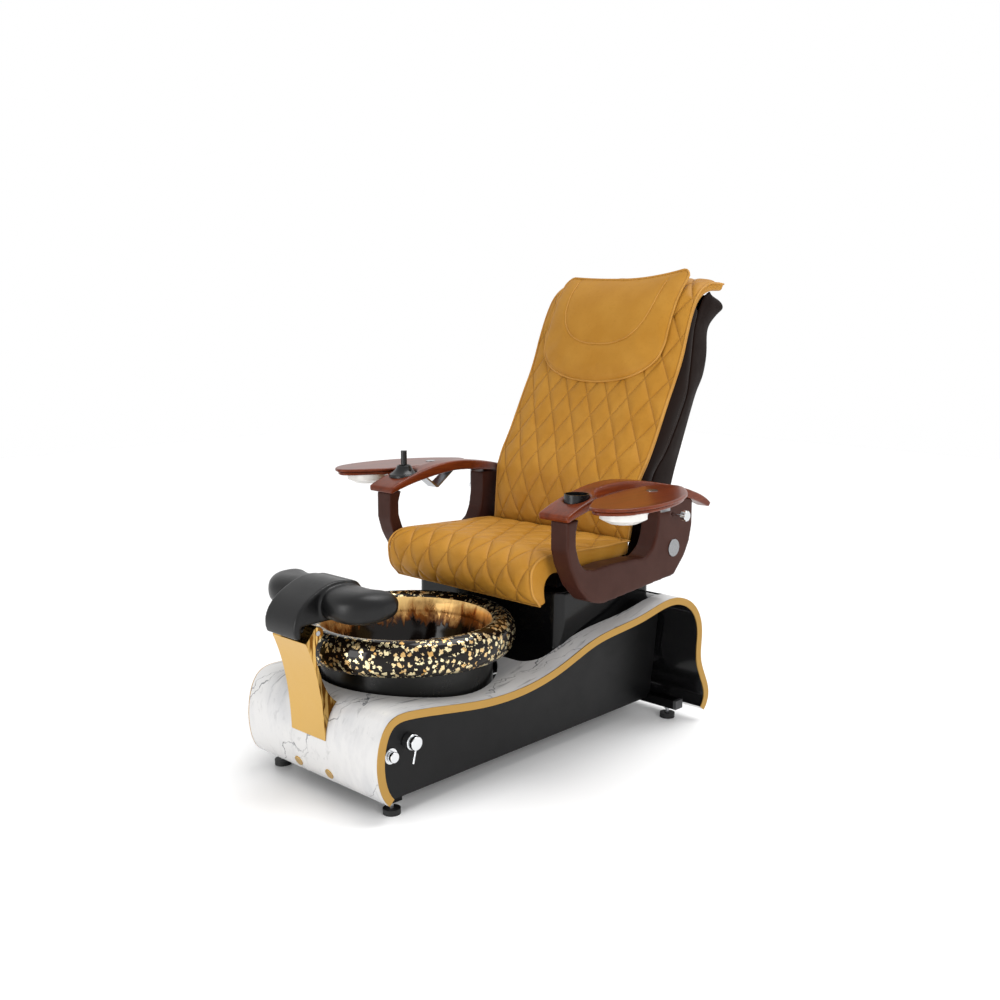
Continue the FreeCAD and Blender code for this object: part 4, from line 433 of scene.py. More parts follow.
class Surface:
    """A material's node tree while it is built."""

    def __init__(self, name: str) -> None:
        """Starts a material with one principled shader in object coordinates."""
        self.material = bpy.data.materials.new(name)
        self.material.use_nodes = True
        self.tree = self.material.node_tree
        self.tree.nodes.clear()
        self.shader = add_node(self.tree, "ShaderNodeBsdfPrincipled")
        add_node(self.tree, "ShaderNodeOutputMaterial", {"Surface": self.shader.outputs[0]})
        self.place = add_node(self.tree, "ShaderNodeTexCoord").outputs["Object"]

    def add(self, kind: str, inputs: dict[str | int, Input] | None = None, **settings: str) -> bpy.types.Node:
        """Adds one node to this material."""
        return add_node(self.tree, kind, inputs, **settings)

    def set(self, **values: Input) -> None:
        """Sets the shader's inputs, an underscore standing for a space."""
        for key, value in values.items():
            plug(self.tree, self.shader.inputs[key.replace("_", " ")], value)

    def noise(self, size: float, detail: float = 3.0, rough: float = 0.5, distortion: float = 0.0,
              place: bpy.types.NodeSocket | None = None) -> bpy.types.NodeSocket:
        """Gives noise whose features measure a size in millimetres."""
        return self.add("ShaderNodeTexNoise", {
            "Vector": place or self.place, "Scale": 1 / (size * MM), "Detail": detail, "Roughness": rough,
            "Distortion": distortion}).outputs["Fac"]

    def stretched(self, x: float, y: float, z: float) -> bpy.types.NodeSocket:
        """Gives the object coordinates scaled along each axis."""
        return self.add("ShaderNodeMapping", {"Vector": self.place, "Scale": (x, y, z)}).outputs[0]

    def span(self, value: bpy.types.NodeSocket, low: float, high: float, first: float,
             last: float) -> bpy.types.NodeSocket:
        """Maps a range of a value onto another, held at its ends."""
        return self.add("ShaderNodeMapRange", {
            "Value": value, "From Min": low, "From Max": high, "To Min": first, "To Max": last}).outputs[0]

    def mix(self, share: Input, first: Input, last: Input) -> bpy.types.NodeSocket:
        """Mixes two colours."""
        return self.add("ShaderNodeMix", {0: share, 6: first, 7: last}, data_type="RGBA").outputs[2]

    def math(self, operation: str, first: Input, second: Input = 0.0) -> bpy.types.NodeSocket:
        """Works out one sum."""
        return self.add("ShaderNodeMath", {0: first, 1: second}, operation=operation).outputs[0]

    def vector(self, operation: str, first: Input, second: Input) -> bpy.types.NodeSocket:
        """Works out one sum of two vectors."""
        return self.add("ShaderNodeVectorMath", {0: first, 1: second}, operation=operation).outputs[0]

    def dot(self, first: Input, second: Input) -> bpy.types.NodeSocket:
        """Gives how far one vector goes along another."""
        return self.add("ShaderNodeVectorMath", {0: first, 1: second}, operation="DOT_PRODUCT").outputs["Value"]

    def axes(self, place: bpy.types.NodeSocket | None = None) -> Sequence[bpy.types.NodeSocket]:
        """Gives the X, Y and Z of a vector, or of the object coordinates."""
        return self.add("ShaderNodeSeparateXYZ", {"Vector": place or self.place}).outputs[:3]

    def off_whole(self, value: Input) -> bpy.types.NodeSocket:
        """Gives how far a value is from the nearest whole number."""
        return self.math("ABSOLUTE", self.math("SUBTRACT", value, self.math("ROUND", value)))

    def bump(self, height: bpy.types.NodeSocket, depth: float, strength: float = 1.0,
             under: bpy.types.NodeSocket | None = None) -> bpy.types.NodeSocket:
        """Gives a normal bent by a height whose full range is a depth in millimetres."""
        inputs = {"Height": height, "Distance": depth * MM, "Strength": strength}
        if under is not None:
            inputs["Normal"] = under
        return self.add("ShaderNodeBump", inputs).outputs[0]


@dataclass(frozen=True)
class Vinyl:
    """Upholstery vinyl: calendered cover with a pressed leather grain over foam.

    The grain is as wide as the emboss roller's pebbles, and the crease shade is a darker colour painted as shade in a
    sewn valley.
    """

    name: str = "upholstery_vinyl"
    base: str = "#AC7829"
    shade: str = "#956420"
    light: str = "#B48132"
    grain: float = 1.3
    grain_depth: float = 0.14
    roughness: float = 0.48
    gloss: float = 0.14
    quilted: bool = False
    # Painted shade in the sewn valleys, and the distances in millimetres over which it fades out
    crease: str = "#7A4F1C"
    crease_from: float = 0.4
    crease_to: float = 2.0
    valley: float = 4.0

    def build(self) -> bpy.types.Material:
        """Builds pebbled grain, cloudy colour and worn sheen."""
        surface = Surface(self.name)
        cloud = surface.noise(90, 3)
        tone = surface.mix(surface.span(cloud, 0.35, 0.65, 0, 1), linear(self.base), linear(self.light))
        fine = surface.noise(9, 4, 0.6)
        tone = surface.mix(surface.span(fine, 0.55, 0.8, 0, 0.35), tone, linear(self.shade))
        pebbles = surface.add("ShaderNodeTexVoronoi", {
            "Vector": surface.place, "Scale": 1 / (self.grain * MM), "Randomness": 0.9}, feature="F1")
        wrinkle = surface.noise(16, 4, 0.62, 0.8)
        normal = surface.bump(pebbles.outputs["Distance"], self.grain_depth, 0.5)
        normal = surface.bump(wrinkle, 0.5, 0.5, normal)
        if self.quilted:
            near = self.seam_distance(surface)
            # Painted shade darkens the cover in the sewn valleys
            sunk = surface.span(near, self.crease_from * MM, self.crease_to * MM, 0.42, 0)
            tone = surface.mix(sunk, tone, linear(self.crease))
            normal = surface.bump(surface.span(near, 0.0, self.valley * MM, 0, 1), 1.5, 0.8, normal)
        worn = surface.span(cloud, 0.3, 0.7, self.roughness - 0.05, self.roughness + 0.07)
        surface.set(Base_Color=tone, Roughness=worn, Normal=normal, Specular_IOR_Level=self.gloss)
        return surface.material

    def seam_distance(self, surface: "Surface") -> bpy.types.NodeSocket:
        """Gives the distance to the nearest quilt seam from the pad's stored across and along."""
        quilt = Quilt()
        across = surface.math("DIVIDE", self.stored(surface, "across"), quilt.wide * MM)
        along = surface.math("DIVIDE", self.stored(surface, "along"), quilt.long * MM)
        steep = math.hypot(1 / quilt.wide, 1 / quilt.long)
        gaps = [surface.off_whole(surface.math(operation, across, along)) for operation in ("ADD", "SUBTRACT")]
        near = surface.math("MULTIPLY", surface.math("MINIMUM", *gaps), MM / steep)
        # Away from the face the distance is a metre, so neither the painted crease shade nor the valley shows there
        return surface.math("ADD", near, surface.math("SUBTRACT", 1.0, self.stored(surface, "face")))

    @staticmethod
    def stored(surface: "Surface", name: str) -> bpy.types.NodeSocket:
        """Reads a value stored on the mesh."""
        return surface.add("ShaderNodeAttribute", attribute_name=name).outputs["Fac"]


@dataclass(frozen=True)
class Plastic:
    """Moulded or painted plastic, foam skin or rubber: even colour, fine texture, faint scuffs.

    The texture is the mould's or the spray's grain in millimetres, and the waviness is its slow unevenness.
    """

    name: str
    base: str
    roughness: float
    texture: float = 0.6
    texture_depth: float = 0.02
    waviness: float = 0.05
    spread: float = 0.06
    gloss: float = 0.5

    def build(self) -> bpy.types.Material:
        """Builds a fine mould texture over a slow surface wave."""
        surface = Surface(self.name)
        cloud = surface.noise(60, 4, 0.6)
        dust = surface.noise(3, 2)
        dark = tuple(channel * 0.82 for channel in linear(self.base)[:3]) + (1.0,)
        tone = surface.mix(surface.span(cloud, 0.35, 0.7, 0, 1), linear(self.base), dark)
        rough = surface.span(cloud, 0.3, 0.7, max(self.roughness - self.spread, 0.02), self.roughness + self.spread)
        normal = surface.bump(surface.noise(self.texture, 2), self.texture_depth, 0.6)
        normal = surface.bump(surface.noise(120, 2), self.waviness * 10, 0.25, normal)
        dusty = surface.math("ADD", rough, surface.span(dust, 0.6, 0.8, 0, 0.03))
        surface.set(Base_Color=tone, Roughness=dusty, Normal=normal, Specular_IOR_Level=self.gloss)
        return surface.material


@dataclass(frozen=True)
class Metal:
    """Plated, polished or brushed metal.

    The side is a darker tone painted in streaks on the faces to the left and right, as a painted reflection.
    """

    name: str
    base: str
    roughness: float
    brushed: Triple = (1.0, 1.0, 1.0)
    brush_depth: float = 0.0
    smudge: float = 0.05
    wave: float = 0.4
    side: str = ""

    def build(self) -> bpy.types.Material:
        """Builds brushing along one axis and faint smudges, and streaks of painted reflection on the sides."""
        surface = Surface(self.name)
        smudges = surface.noise(35, 4, 0.6)
        rough = surface.span(smudges, 0.45, 0.75, self.roughness, self.roughness + self.smudge)
        normal = surface.bump(surface.noise(80, 2), self.wave, 0.15 * max(1.0, self.wave))
        if self.brush_depth:
            strokes = surface.noise(0.5, 2, place=surface.stretched(*self.brushed))
            normal = surface.bump(strokes, self.brush_depth, 0.6, normal)
        tone = linear(self.base)
        if self.side:
            # Painted reflection: darker streaks along the faces that face left and right
            facing = surface.axes(surface.add("ShaderNodeTexCoord").outputs["Normal"])[0]
            reflection_sides = surface.span(surface.math("ABSOLUTE", facing), 0.6, 0.8, 0, 1)
            reflection_noise = surface.noise(11, 3, 0.5, 0.5, surface.stretched(1.0, 1.0, 0.12))
            drawn = surface.span(reflection_noise, 0.46, 0.56, 0, 1)
            tone = surface.mix(surface.math("MULTIPLY", reflection_sides, drawn), tone, linear(self.side))
        surface.set(Base_Color=tone, Metallic=1.0, Roughness=rough, Normal=normal)
        return surface.material


@dataclass(frozen=True)
class Marble:
    """High-pressure laminate printed as white marble and pressed glossy, its inner faces painted black as shade.

    Each vein is the printed lines' normal, their spacing in millimetres, their width as a share of it and their
    strength. The middle is a line inside the base, which tells the printed outer side from the inner side, painted
    black as shade.
    """

    name: str = "marble_laminate"
    white: str = "#CFCECD"
    cloud: str = "#AEAFB3"
    vein: str = "#4C4E53"
    # Black painted as shade on the inner faces, which lie under the panel's overhang
    backing: str = "#0E0E0F"
    roughness: float = 0.2
    veins: tuple[tuple[Triple, float, float, float], ...] = (
        ((0.6, 0.25, -0.76), 190, 0.014, 1.0), ((0.78, -0.3, -0.55), 250, 0.009, 0.9))
    middle_z: float = 0.18
    middle_y: Pair = (-0.56, 0.3)

    def build(self) -> bpy.types.Material:
        """Builds long thin veins, short streaks along the slope and painted black shade on the inner faces."""
        surface = Surface(self.name)
        turned = surface.add("ShaderNodeMapping", {
            "Vector": surface.place, "Rotation": (0.5, 0.15, 0.6), "Scale": (2.0, 0.55, 0.9)}).outputs[0]
        clouds = surface.noise(260, 5, 0.6, 0.4, turned)
        tone = surface.mix(surface.span(clouds, 0.42, 0.7, 0, 0.75), linear(self.white), linear(self.cloud))
        # Long veins run slantwise up the nose, wander a little and break off
        for across, period, width, weight in self.veins:
            wander = surface.noise(170, 5, 0.58, 0.35)
            along = surface.dot(surface.place, across)
            phase = surface.math("ADD", surface.math("DIVIDE", along, period * MM), wander)
            line = surface.span(surface.off_whole(phase), 0.0, width, 1, 0)
            broken = surface.span(surface.noise(75, 3), 0.36, 0.54, 0.1, weight)
            tone = surface.mix(surface.math("MULTIPLY", line, broken), tone, linear(self.vein))
        _, y, z = surface.axes()
        # Streaks lie along the chair and fade out low on the nose
        streak = surface.span(surface.noise(16, 4, 0.6, 0.6, surface.stretched(1.0, 0.11, 0.5)), 0.56, 0.66, 0, 0.9)
        patch = surface.span(surface.noise(140, 2), 0.44, 0.6, 0.15, 1)
        level = surface.span(z, 0.2, 0.3, 0.22, 1)
        streaks = surface.math("MULTIPLY", surface.math("MULTIPLY", streak, patch), level)
        tone = surface.mix(streaks, tone, linear(self.vein))
        # The side that faces the middle of the base is painted black as shade
        front_y, rear_y = self.middle_y
        held = surface.math("MAXIMUM", surface.math("MINIMUM", y, rear_y), front_y)
        outward = surface.add("ShaderNodeCombineXYZ", {
            "Y": surface.math("SUBTRACT", y, held), "Z": surface.math("SUBTRACT", z, self.middle_z)})
        facing = surface.dot(outward.outputs[0], surface.add("ShaderNodeNewGeometry").outputs["True Normal"])
        inside = surface.math("LESS_THAN", facing, -0.004)
        tone = surface.mix(inside, tone, linear(self.backing))
        normal = surface.bump(surface.noise(150, 2), 0.3, 0.12)
        surface.set(Base_Color=tone, Roughness=self.roughness, Normal=normal, Coat_Weight=0.25, Coat_Roughness=0.08)
        return surface.material


@dataclass(frozen=True)
class Wood:
    """Mahogany-stained hardwood under a gloss lacquer, its grain along the arm."""

    name: str = "lacquered_wood"
    base: str = "#6E2D12"
    dark: str = "#4A1A0B"
    light: str = "#8A441C"
    roughness: float = 0.3

    def build(self) -> bpy.types.Material:
        """Builds long fibres, broad figure and a lacquer coat."""
        surface = Surface(self.name)
        along = surface.stretched(1.0, 0.09, 1.0)
        broad = surface.noise(26, 5, 0.6, 0.5, along)
        fibre = surface.noise(1.6, 3, 0.6, 0.2, surface.stretched(1.0, 0.03, 1.0))
        tone = surface.mix(surface.span(broad, 0.3, 0.7, 0, 1), linear(self.dark), linear(self.base))
        tone = surface.mix(surface.span(fibre, 0.45, 0.75, 0, 0.55), tone, linear(self.light))
        pores = surface.span(fibre, 0.62, 0.7, 0, 1)
        surface.set(Base_Color=tone, Roughness=self.roughness, Normal=surface.bump(pores, 0.02, 0.3),
                    Specular_IOR_Level=0.16, Coat_Weight=0.12, Coat_Roughness=0.12)
        return surface.material


@dataclass(frozen=True)
class FlakedGlass:
    """Black cast glass with gold leaf flakes fired on, gold lustre inside and a bare dark floor.

    A cell holds one flake, whose outline is ragged by a few millimetres. The lustre runs out between two heights of
    the wall, in metres, and turns from amber to gold above.
    """

    name: str = "flaked_glass"
    black: str = "#100A07"
    gold: str = "#CF9F58"
    pale: str = "#F2E3B6"
    amber: str = "#96551C"
    glow: str = "#F1C882"
    cell: float = 13.5
    ragged: float = 16.0
    lustre: Pair = (0.322, 0.362)
    golden: Pair = (0.345, 0.388)

    def build(self) -> bpy.types.Material:
        """Builds flakes on the roll and brushed lustre on the inner wall."""
        surface = Surface(self.name)
        warp = surface.add("ShaderNodeTexNoise", {
            "Vector": surface.place, "Scale": 150.0, "Detail": 3.0}).outputs["Color"]
        shifted = surface.vector("SUBTRACT", warp, (0.5, 0.5, 0.5))
        place = surface.vector("ADD", surface.place, surface.vector("MULTIPLY", shifted, (self.ragged * MM,) * 3))
        cells = surface.add("ShaderNodeTexVoronoi", {
            "Vector": place, "Scale": 1 / (self.cell * MM), "Randomness": 0.85}, feature="F1")
        parts = surface.add("ShaderNodeSeparateColor", {"Color": cells.outputs["Color"]})
        chosen = surface.math("GREATER_THAN", parts.outputs[0], 0.06)
        near = surface.math("LESS_THAN", cells.outputs["Distance"], surface.span(parts.outputs[1], 0, 1, 0.32, 0.5))
        flake = surface.math("MULTIPLY", chosen, near)
        tone_of_flake = surface.mix(surface.span(parts.outputs[2], 0, 0.6, 0, 1), linear(self.gold), linear(self.pale))
        # The mesh's mark tells the inner wall from the roll
        inner = surface.add("ShaderNodeAttribute", attribute_name="wall").outputs["Fac"]
        inner = surface.span(inner, 0.4, 0.6, 0, 1)
        streaks = surface.noise(30, 5, 0.65, 0.8, surface.stretched(1, 1, 0.25))
        ragged = surface.math("ADD", surface.axes()[2], surface.span(streaks, 0.3, 0.7, -0.03, 0.03))
        lustre = surface.math("MULTIPLY", inner, surface.span(ragged, *self.lustre, 0, 1))
        flake_outside = surface.math("MULTIPLY", flake, surface.math("SUBTRACT", 1.0, inner))
        gold_share = surface.math("MAXIMUM", flake_outside, lustre)
        patch = surface.span(surface.noise(150, 2), 0.4, 0.62, -0.016, 0.016)
        lustre_tone = surface.mix(surface.span(surface.math("ADD", ragged, patch), *self.golden, 0, 1),
                                  linear(self.amber), linear(self.glow))
        metal_tone = surface.mix(inner, tone_of_flake, lustre_tone)
        tone = surface.mix(gold_share, linear(self.black), metal_tone)
        edge = surface.bump(gold_share, 0.12, 0.5)
        edge = surface.bump(surface.math("MULTIPLY", streaks, lustre), 3.0, 0.35, edge)
        surface.set(Base_Color=tone, Metallic=surface.math("MULTIPLY", gold_share, 0.8), Normal=edge,
                    Roughness=surface.span(gold_share, 0, 1, 0.08, 0.28), Specular_IOR_Level=0.22)
        return surface.material


class Look(Enum):
    """The finish of each of the record's material slots."""

    laminate = Marble()
    # Extruded aluminium edging, anodised gold and lightly brushed along its length
    gold_band = Metal("gold_edge_band", "#AF8A4C", 0.36, (1.0, 0.05, 0.05), 0.01)
    # Formed steel plate, gold plated and hand polished, with a dark reflection painted in streaks on its sides
    gold_post = Metal("polished_gold", "#C8A15C", 0.13, (0.04, 1.0, 1.0), 0.012, 0.1, 3.5, "#6A4315")
    # Vacuum-formed ABS, gloss off the mould
    black_gloss = Plastic("gloss_black_moulding", "#0A0A0B", 0.16, spread=0.03, gloss=0.22)
    # Pressed board faced with satin film
    skirt_black = Plastic("satin_black_sheet", "#0A0A0B", 0.38, 0.9, 0.02, 0.08, gloss=0.2)
    # Welded steel tube, powder coated
    frame_black = Metal("painted_steel", "#1B1B1C", 0.5)
    # Injection-moulded polyethylene plug
    cap_grey = Plastic("grey_end_cap", "#3C3C3E", 0.5)
    # Moulded rubber foot
    foot_rubber = Plastic("foot_rubber", "#111112", 0.6, 0.5, 0.05)
    # Turned steel, bright zinc plated
    zinc = Metal("zinc_plate", "#A9ABAE", 0.3, (0.2, 1.0, 1.0), 0.008)
    bowl_glass = FlakedGlass()
    # Glass-fibre moulding with a satin gel coat
    ring_black = Plastic("tub_ring_black", "#121211", 0.3, 0.8, 0.015, 0.06, gloss=0.25)
    # Injection-moulded ABS jet cap
    jet_grey = Plastic("jet_grey", "#7C7C7E", 0.35)
    # Cast brass, chrome plated and polished
    chrome = Metal("chrome", "#D9DBDD", 0.06)
    # Self-skinning polyurethane foam, its skin as the mould left it
    foot_pad = Plastic("moulded_foam_skin", "#070708", 0.36, 0.7, 0.05, 0.1, gloss=0.3)
    vinyl_caramel = Vinyl()
    # Split leather with a pressed grain and a dark topcoat
    leather_dark = Vinyl("dark_side_leather", "#140B08", "#0D0705", "#1A0F0B", 1.1, 0.12, 0.5, gloss=0.05)
    # Thermoformed ABS with a fine mould grain
    shell_dark = Plastic("shell_satin", "#180D09", 0.5, 0.7, 0.02, 0.08, gloss=0.02)
    # Bent plywood sprayed with satin lacquer
    arm_paint = Plastic("arm_lacquer", "#3D2018", 0.42, 0.8, 0.012, 0.06, gloss=0.14)
    cap_wood = Wood()
    # Glossy white melamine dish, compression moulded
    dish_white = Plastic("dish_white", "#E4E2DD", 0.24, 1.0, 0.01, 0.03)
    # Injection-moulded ABS, satin
    black_plastic = Plastic("satin_black_plastic", "#0C0C0D", 0.3, 0.5, 0.02, gloss=0.35)
    # Stamped stainless disc, brushed one way
    silver_disc = Metal("silver_disc", "#97989A", 0.26, (1.0, 0.1, 0.1), 0.01)
    # Cut and bent steel plate, bare
    steel_frame = Metal("bare_steel", "#8E9092", 0.4)
    # Cast nylon roller
    roller_plastic = Plastic("roller_plastic", "#D8D6D0", 0.4)


class Finishes:
    """Builds each finish once and dresses the CAD nodes with it."""

    def __init__(self, frame: dict) -> None:
        """Reads which slot each node of the record uses."""
        self.made: dict[str, bpy.types.Material] = {}
        self.frame = frame
        self.slots = {row["node"]: row["material_slot"] for row in frame["record"]["subparts"]}

    def get(self, slot: str) -> bpy.types.Material:
        """Gives a slot's material."""
        if slot not in self.made:
            self.made[slot] = Look[slot].value.build()
        return self.made[slot]

    def dress_all(self) -> None:
        """Puts its finish on every CAD node."""
        for node, piece in self.frame["nodes"].items():
            for slot in piece.material_slots:
                slot.material = self.get(self.slots[node])
        log.info("dressed %d CAD nodes", len(self.slots))


# Padded forms

Grid = list[list[Vector]]


def offset_grid(grid: Grid, distance: float) -> Grid:
    """Moves a grid of points along its own normals."""
    last_row, last_column = len(grid) - 1, len(grid[0]) - 1
    result = []
    for row, line in enumerate(grid):
        shifted = []
        for column, spot in enumerate(line):
            along = grid[min(row + 1, last_row)][column] - grid[max(row - 1, 0)][column]
            across = line[min(column + 1, last_column)] - line[max(column - 1, 0)]
            shifted.append(spot + across.cross(along).normalized() * distance)
        result.append(shifted)
    return result


class Pad:
    """A closed form between a front and a back grid of points, joined round their edge."""

    def __init__(self, name: str, front: Grid, back: Grid, bulges: Sequence[float],
                 material: bpy.types.Material) -> None:
        """Builds the form.

        Args:
            name: The piece's name.
            front: Rows of points over the face.
            back: Rows of points over the back, matched to the face.
            bulges: How far each loop between the two edges stands out.
            material: The piece's material.
        """
        self.rows, self.columns = len(front), len(front[0])
        size = self.rows * self.columns
        spots = [spot for line in front for spot in line] + [spot for line in back for spot in line]
        faces = []
        for row in range(self.rows - 1):
            for column in range(self.columns - 1):
                here = row * self.columns + column
                quad = (here, here + 1, here + self.columns + 1, here + self.columns)
                faces.append(quad)
                faces.append(tuple(size + index for index in reversed(quad)))
        self.rim = self.edge_loop()
        loops = [self.rim]
        for number, bulge in enumerate(bulges):
            share = (number + 1) / (len(bulges) + 1)
            loop = []
            for index in self.rim:
                row, column = divmod(index, self.columns)
                inner = (min(max(row, 1), self.rows - 2), min(max(column, 1), self.columns - 2))
                outward = front[row][column] - front[inner[0]][inner[1]]
                outward = outward.normalized() if outward.length > 1e-6 else Vector()
                loop.append(len(spots))
                spots.append(front[row][column].lerp(back[row][column], share) + outward * bulge)
            loops.append(loop)
        loops.append([size + index for index in self.rim])
        for first, second in zip(loops, loops[1:]):
            for index in range(len(first)):
                after = (index + 1) % len(first)
                faces.append((first[index], second[index], second[after], first[after]))
        self.piece = mesh_piece(name, spots, faces, material)
        self.fixed = sorted(set(self.rim) | set(range(size, len(spots))))
        self.front_count = size

    def edge_loop(self) -> list[int]:
        """Gives the face's edge points in order."""
        last_row, last_column = self.rows - 1, self.columns - 1
        loop = [(0, column) for column in range(last_column)]
        loop += [(row, last_column) for row in range(last_row)]
        loop += [(last_row, column) for column in range(last_column, 0, -1)]
        loop += [(row, 0) for row in range(last_row, 0, -1)]
        return [row * self.columns + column for row, column in loop]

    def mark(self, name: str, values: Callable[[int, int], float]) -> None:
        """Stores a value at each point of the face, and nothing at the others."""
        layer = self.piece.data.attributes.new(name, "FLOAT", "POINT")
        for index in range(self.front_count):
            layer.data[index].value = values(*divmod(index, self.columns))


def marks(piece: bpy.types.Object, name: str) -> list[float]:
    """Reads a stored value of each vertex."""
    layer = piece.data.attributes[name]
    return [item.value for item in layer.data]


@dataclass(frozen=True)
class Quilt:
    """Diamond quilting, measured across and along a pad's face.

    The level is the share of the puff that the face gives back, so that seams sink and diamonds rise. The fade is
    the plain margin along the pad's edge, and the crumple is the cover's own unevenness.
    """

    wide: float = 76.0
    long: float = 131.0
    puff: float = 5.6
    reach: float = 27.0
    roundness: float = 2.6
    start: float = 0.0
    level: float = 0.62
    fade: float = 16.0
    crumple: float = 0.9
    crumple_size: float = 34.0

    def seam(self, across: float, along: float) -> float:
        """Gives the distance to the nearest seam."""
        steep = math.hypot(1 / self.wide, 1 / self.long)
        first = across / self.wide + (along - self.start) / self.long
        second = across / self.wide - (along - self.start) / self.long
        return min(abs(first - round(first)), abs(second - round(second))) / steep

    def height(self, across: float, along: float) -> float:
        """Gives the puff's height over the seams."""
        share = min(self.seam(across, along) / self.reach, 1.0)
        return self.puff * (1 - (1 - share) ** self.roundness)

    def lines(self, half: float, long: float, step: float = 6.0) -> list[list[Pair]]:
        """Gives the seams over a face as runs of (across, along)."""
        runs = []
        reach = int((2 * half) / self.wide + long / self.long) + 3
        for sign in (1, -1):
            for number in range(-reach, reach + 1):
                run = []
                count = int(long / step)
                for index in range(count + 1):
                    along = long * index / count
                    across = (number - sign * (along - self.start) / self.long) * self.wide
                    if abs(across) < half:
                        run.append((across, along))
                if len(run) > 3:
                    runs.append(run)
        return runs


@dataclass(frozen=True)
class PadSize:
    """Sizes of a long pad.

    The edge is the piped edge seen from the side, the back is the line behind it, and the halves are half widths at
    shares of its length. The cap is the furthest that the cover fills out, and the margin is how far the stitches
    stay from its sides and its ends.
    """

    edge: tuple[Pair, ...]
    back: tuple[Pair, ...]
    halves: tuple[Pair, ...]
    crown: float
    rows: int
    columns: int = 46
    pressure: float = 4.0
    cap: float = 6.0
    piping: float = 3.0
    margin: Pair = (5.0, 6.0)
    spread: Pair = (0.72, 0.28)
    narrower: float = 0.985
    end_rise: Pair = (0.03, 0.05)


class LongPad:
    """A quilted pad over a side line, with piped edges, a plain side band and sewn diamonds."""

    def __init__(self, name: str, size: PadSize, quilt: Quilt, finish: bpy.types.Material,
                 piping: bpy.types.Material, thread: bpy.types.NodeTree) -> None:
        """Keeps the sizes and the lines of the pad's edge."""
        self.name, self.size, self.quilt = name, size, quilt
        self.finish, self.piping, self.thread = finish, piping, thread
        self.edge = Curve2D(size.edge)
        self.back = Curve2D(size.back)

    def half(self, share: float) -> float:
        """Gives half the width at a share of the pad's length."""
        return between(self.size.halves, share)

    def spot(self, across: float, share: float) -> Vector:
        """Gives a point of the face, whose crown runs out at both ends."""
        way = self.edge.way(share)
        base = self.edge.at(share)
        unit = min(abs(across) / self.half(share), 1.0)
        start, stop = self.size.end_rise
        ends = min(1.0, share / start, (1 - share) / stop) if share < 1 else 0.0
        rise = self.size.crown * crowned(unit) * max(ends, 0.0) ** 0.5
        return Vector((across, base.x - way.y * rise, base.y + way.x * rise))

    def build(self) -> bpy.types.Object:
        """Builds, fills and quilts the pad.

        Returns:
            The pad without its trim.
        """
        size = self.size
        front: Grid = []
        back: Grid = []
        for row in range(size.rows + 1):
            share = row / size.rows
            half = self.half(share)
            spread = [half * place for place in spread_out(size.columns, *size.spread)]
            front.append([self.spot(across, share) for across in spread])
            behind = self.back.at(share)
            back.append([Vector((across * size.narrower, behind.x, behind.y)) for across in spread])
        pad = Pad(self.name, front, back, (1.5,), self.finish)
        pad.mark("across", lambda row, column: front[row][column].x * MM)
        pad.mark("along", lambda row, column: (row / size.rows * self.edge.length - self.quilt.start) * MM)
        pad.mark("face", lambda row, column: 1.0)
        inflated(pad.piece, pad.fixed, size.pressure, size.cap)
        subdivided(pad.piece, 2)
        self.sew(pad.piece)
        return pad.piece

    def sew(self, piece: bpy.types.Object) -> None:
        """Draws the face in along the diamond seams."""
        across, along, face = marks(piece, "across"), marks(piece, "along"), marks(piece, "face")
        piece.data.update()
        normals = [vertex.normal.copy() for vertex in piece.data.vertices]
        length, quilt = self.edge.length, self.quilt
        for vertex, normal, x, s, on_face in zip(piece.data.vertices, normals, across, along, face):
            if on_face < 0.5:
                continue
            x, s = x / MM, s / MM + quilt.start
            margin = min(self.half(s / length) - abs(x), s, length - s)
            fade = min(max(margin / quilt.fade, 0.0), 1.0)
            rise = (quilt.height(x, s) - quilt.puff * quilt.level) * fade * (on_face * 2 - 1)
            rise += quilt.crumple * fade * noise.noise(Vector((x / quilt.crumple_size, s / quilt.crumple_size, 1.7)))
            vertex.co += normal * rise * MM
        piece.data.update()

    def edge_path(self, along_steps: int = 90, end_steps: int = 24) -> list[Vector]:
        """Gives the path of the piped edge: up one side, over the end and down the other."""
        shares = [step / along_steps for step in range(along_steps + 1)]
        end = self.half(1.0)
        path = [self.spot(-self.half(share), share) for share in shares]
        path += [self.spot(-end + 2 * end * step / end_steps, 1.0) for step in range(1, end_steps)]
        path += [self.spot(self.half(share), share) for share in reversed(shares)]
        return path

    def trim(self, piece: bpy.types.Object, body: str) -> None:
        """Adds the piping and the seams' stitches.

        Args:
            piece: The finished pad.
            body: The body that the trim rides on.
        """
        welt = tube(self.name + "_piping", spaced(self.edge_path(), 9), self.size.piping, self.piping, closed=True)
        length = self.edge.length
        side, end = self.size.margin
        runs = []
        for run in self.quilt.lines(self.half(0.5) - 4, length):
            kept = [(x, s) for x, s in run if abs(x) < self.half(s / length) - side and end < s < length - end]
            if len(kept) > 3:
                runs.append(laid_on(piece, [self.spot(x, s / length) for x, s in kept], 0.1))
        sewn = stitches(self.name + "_stitches", runs, self.thread, QUILT_STITCH)
        for part in (welt, sewn):
            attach(part, body)


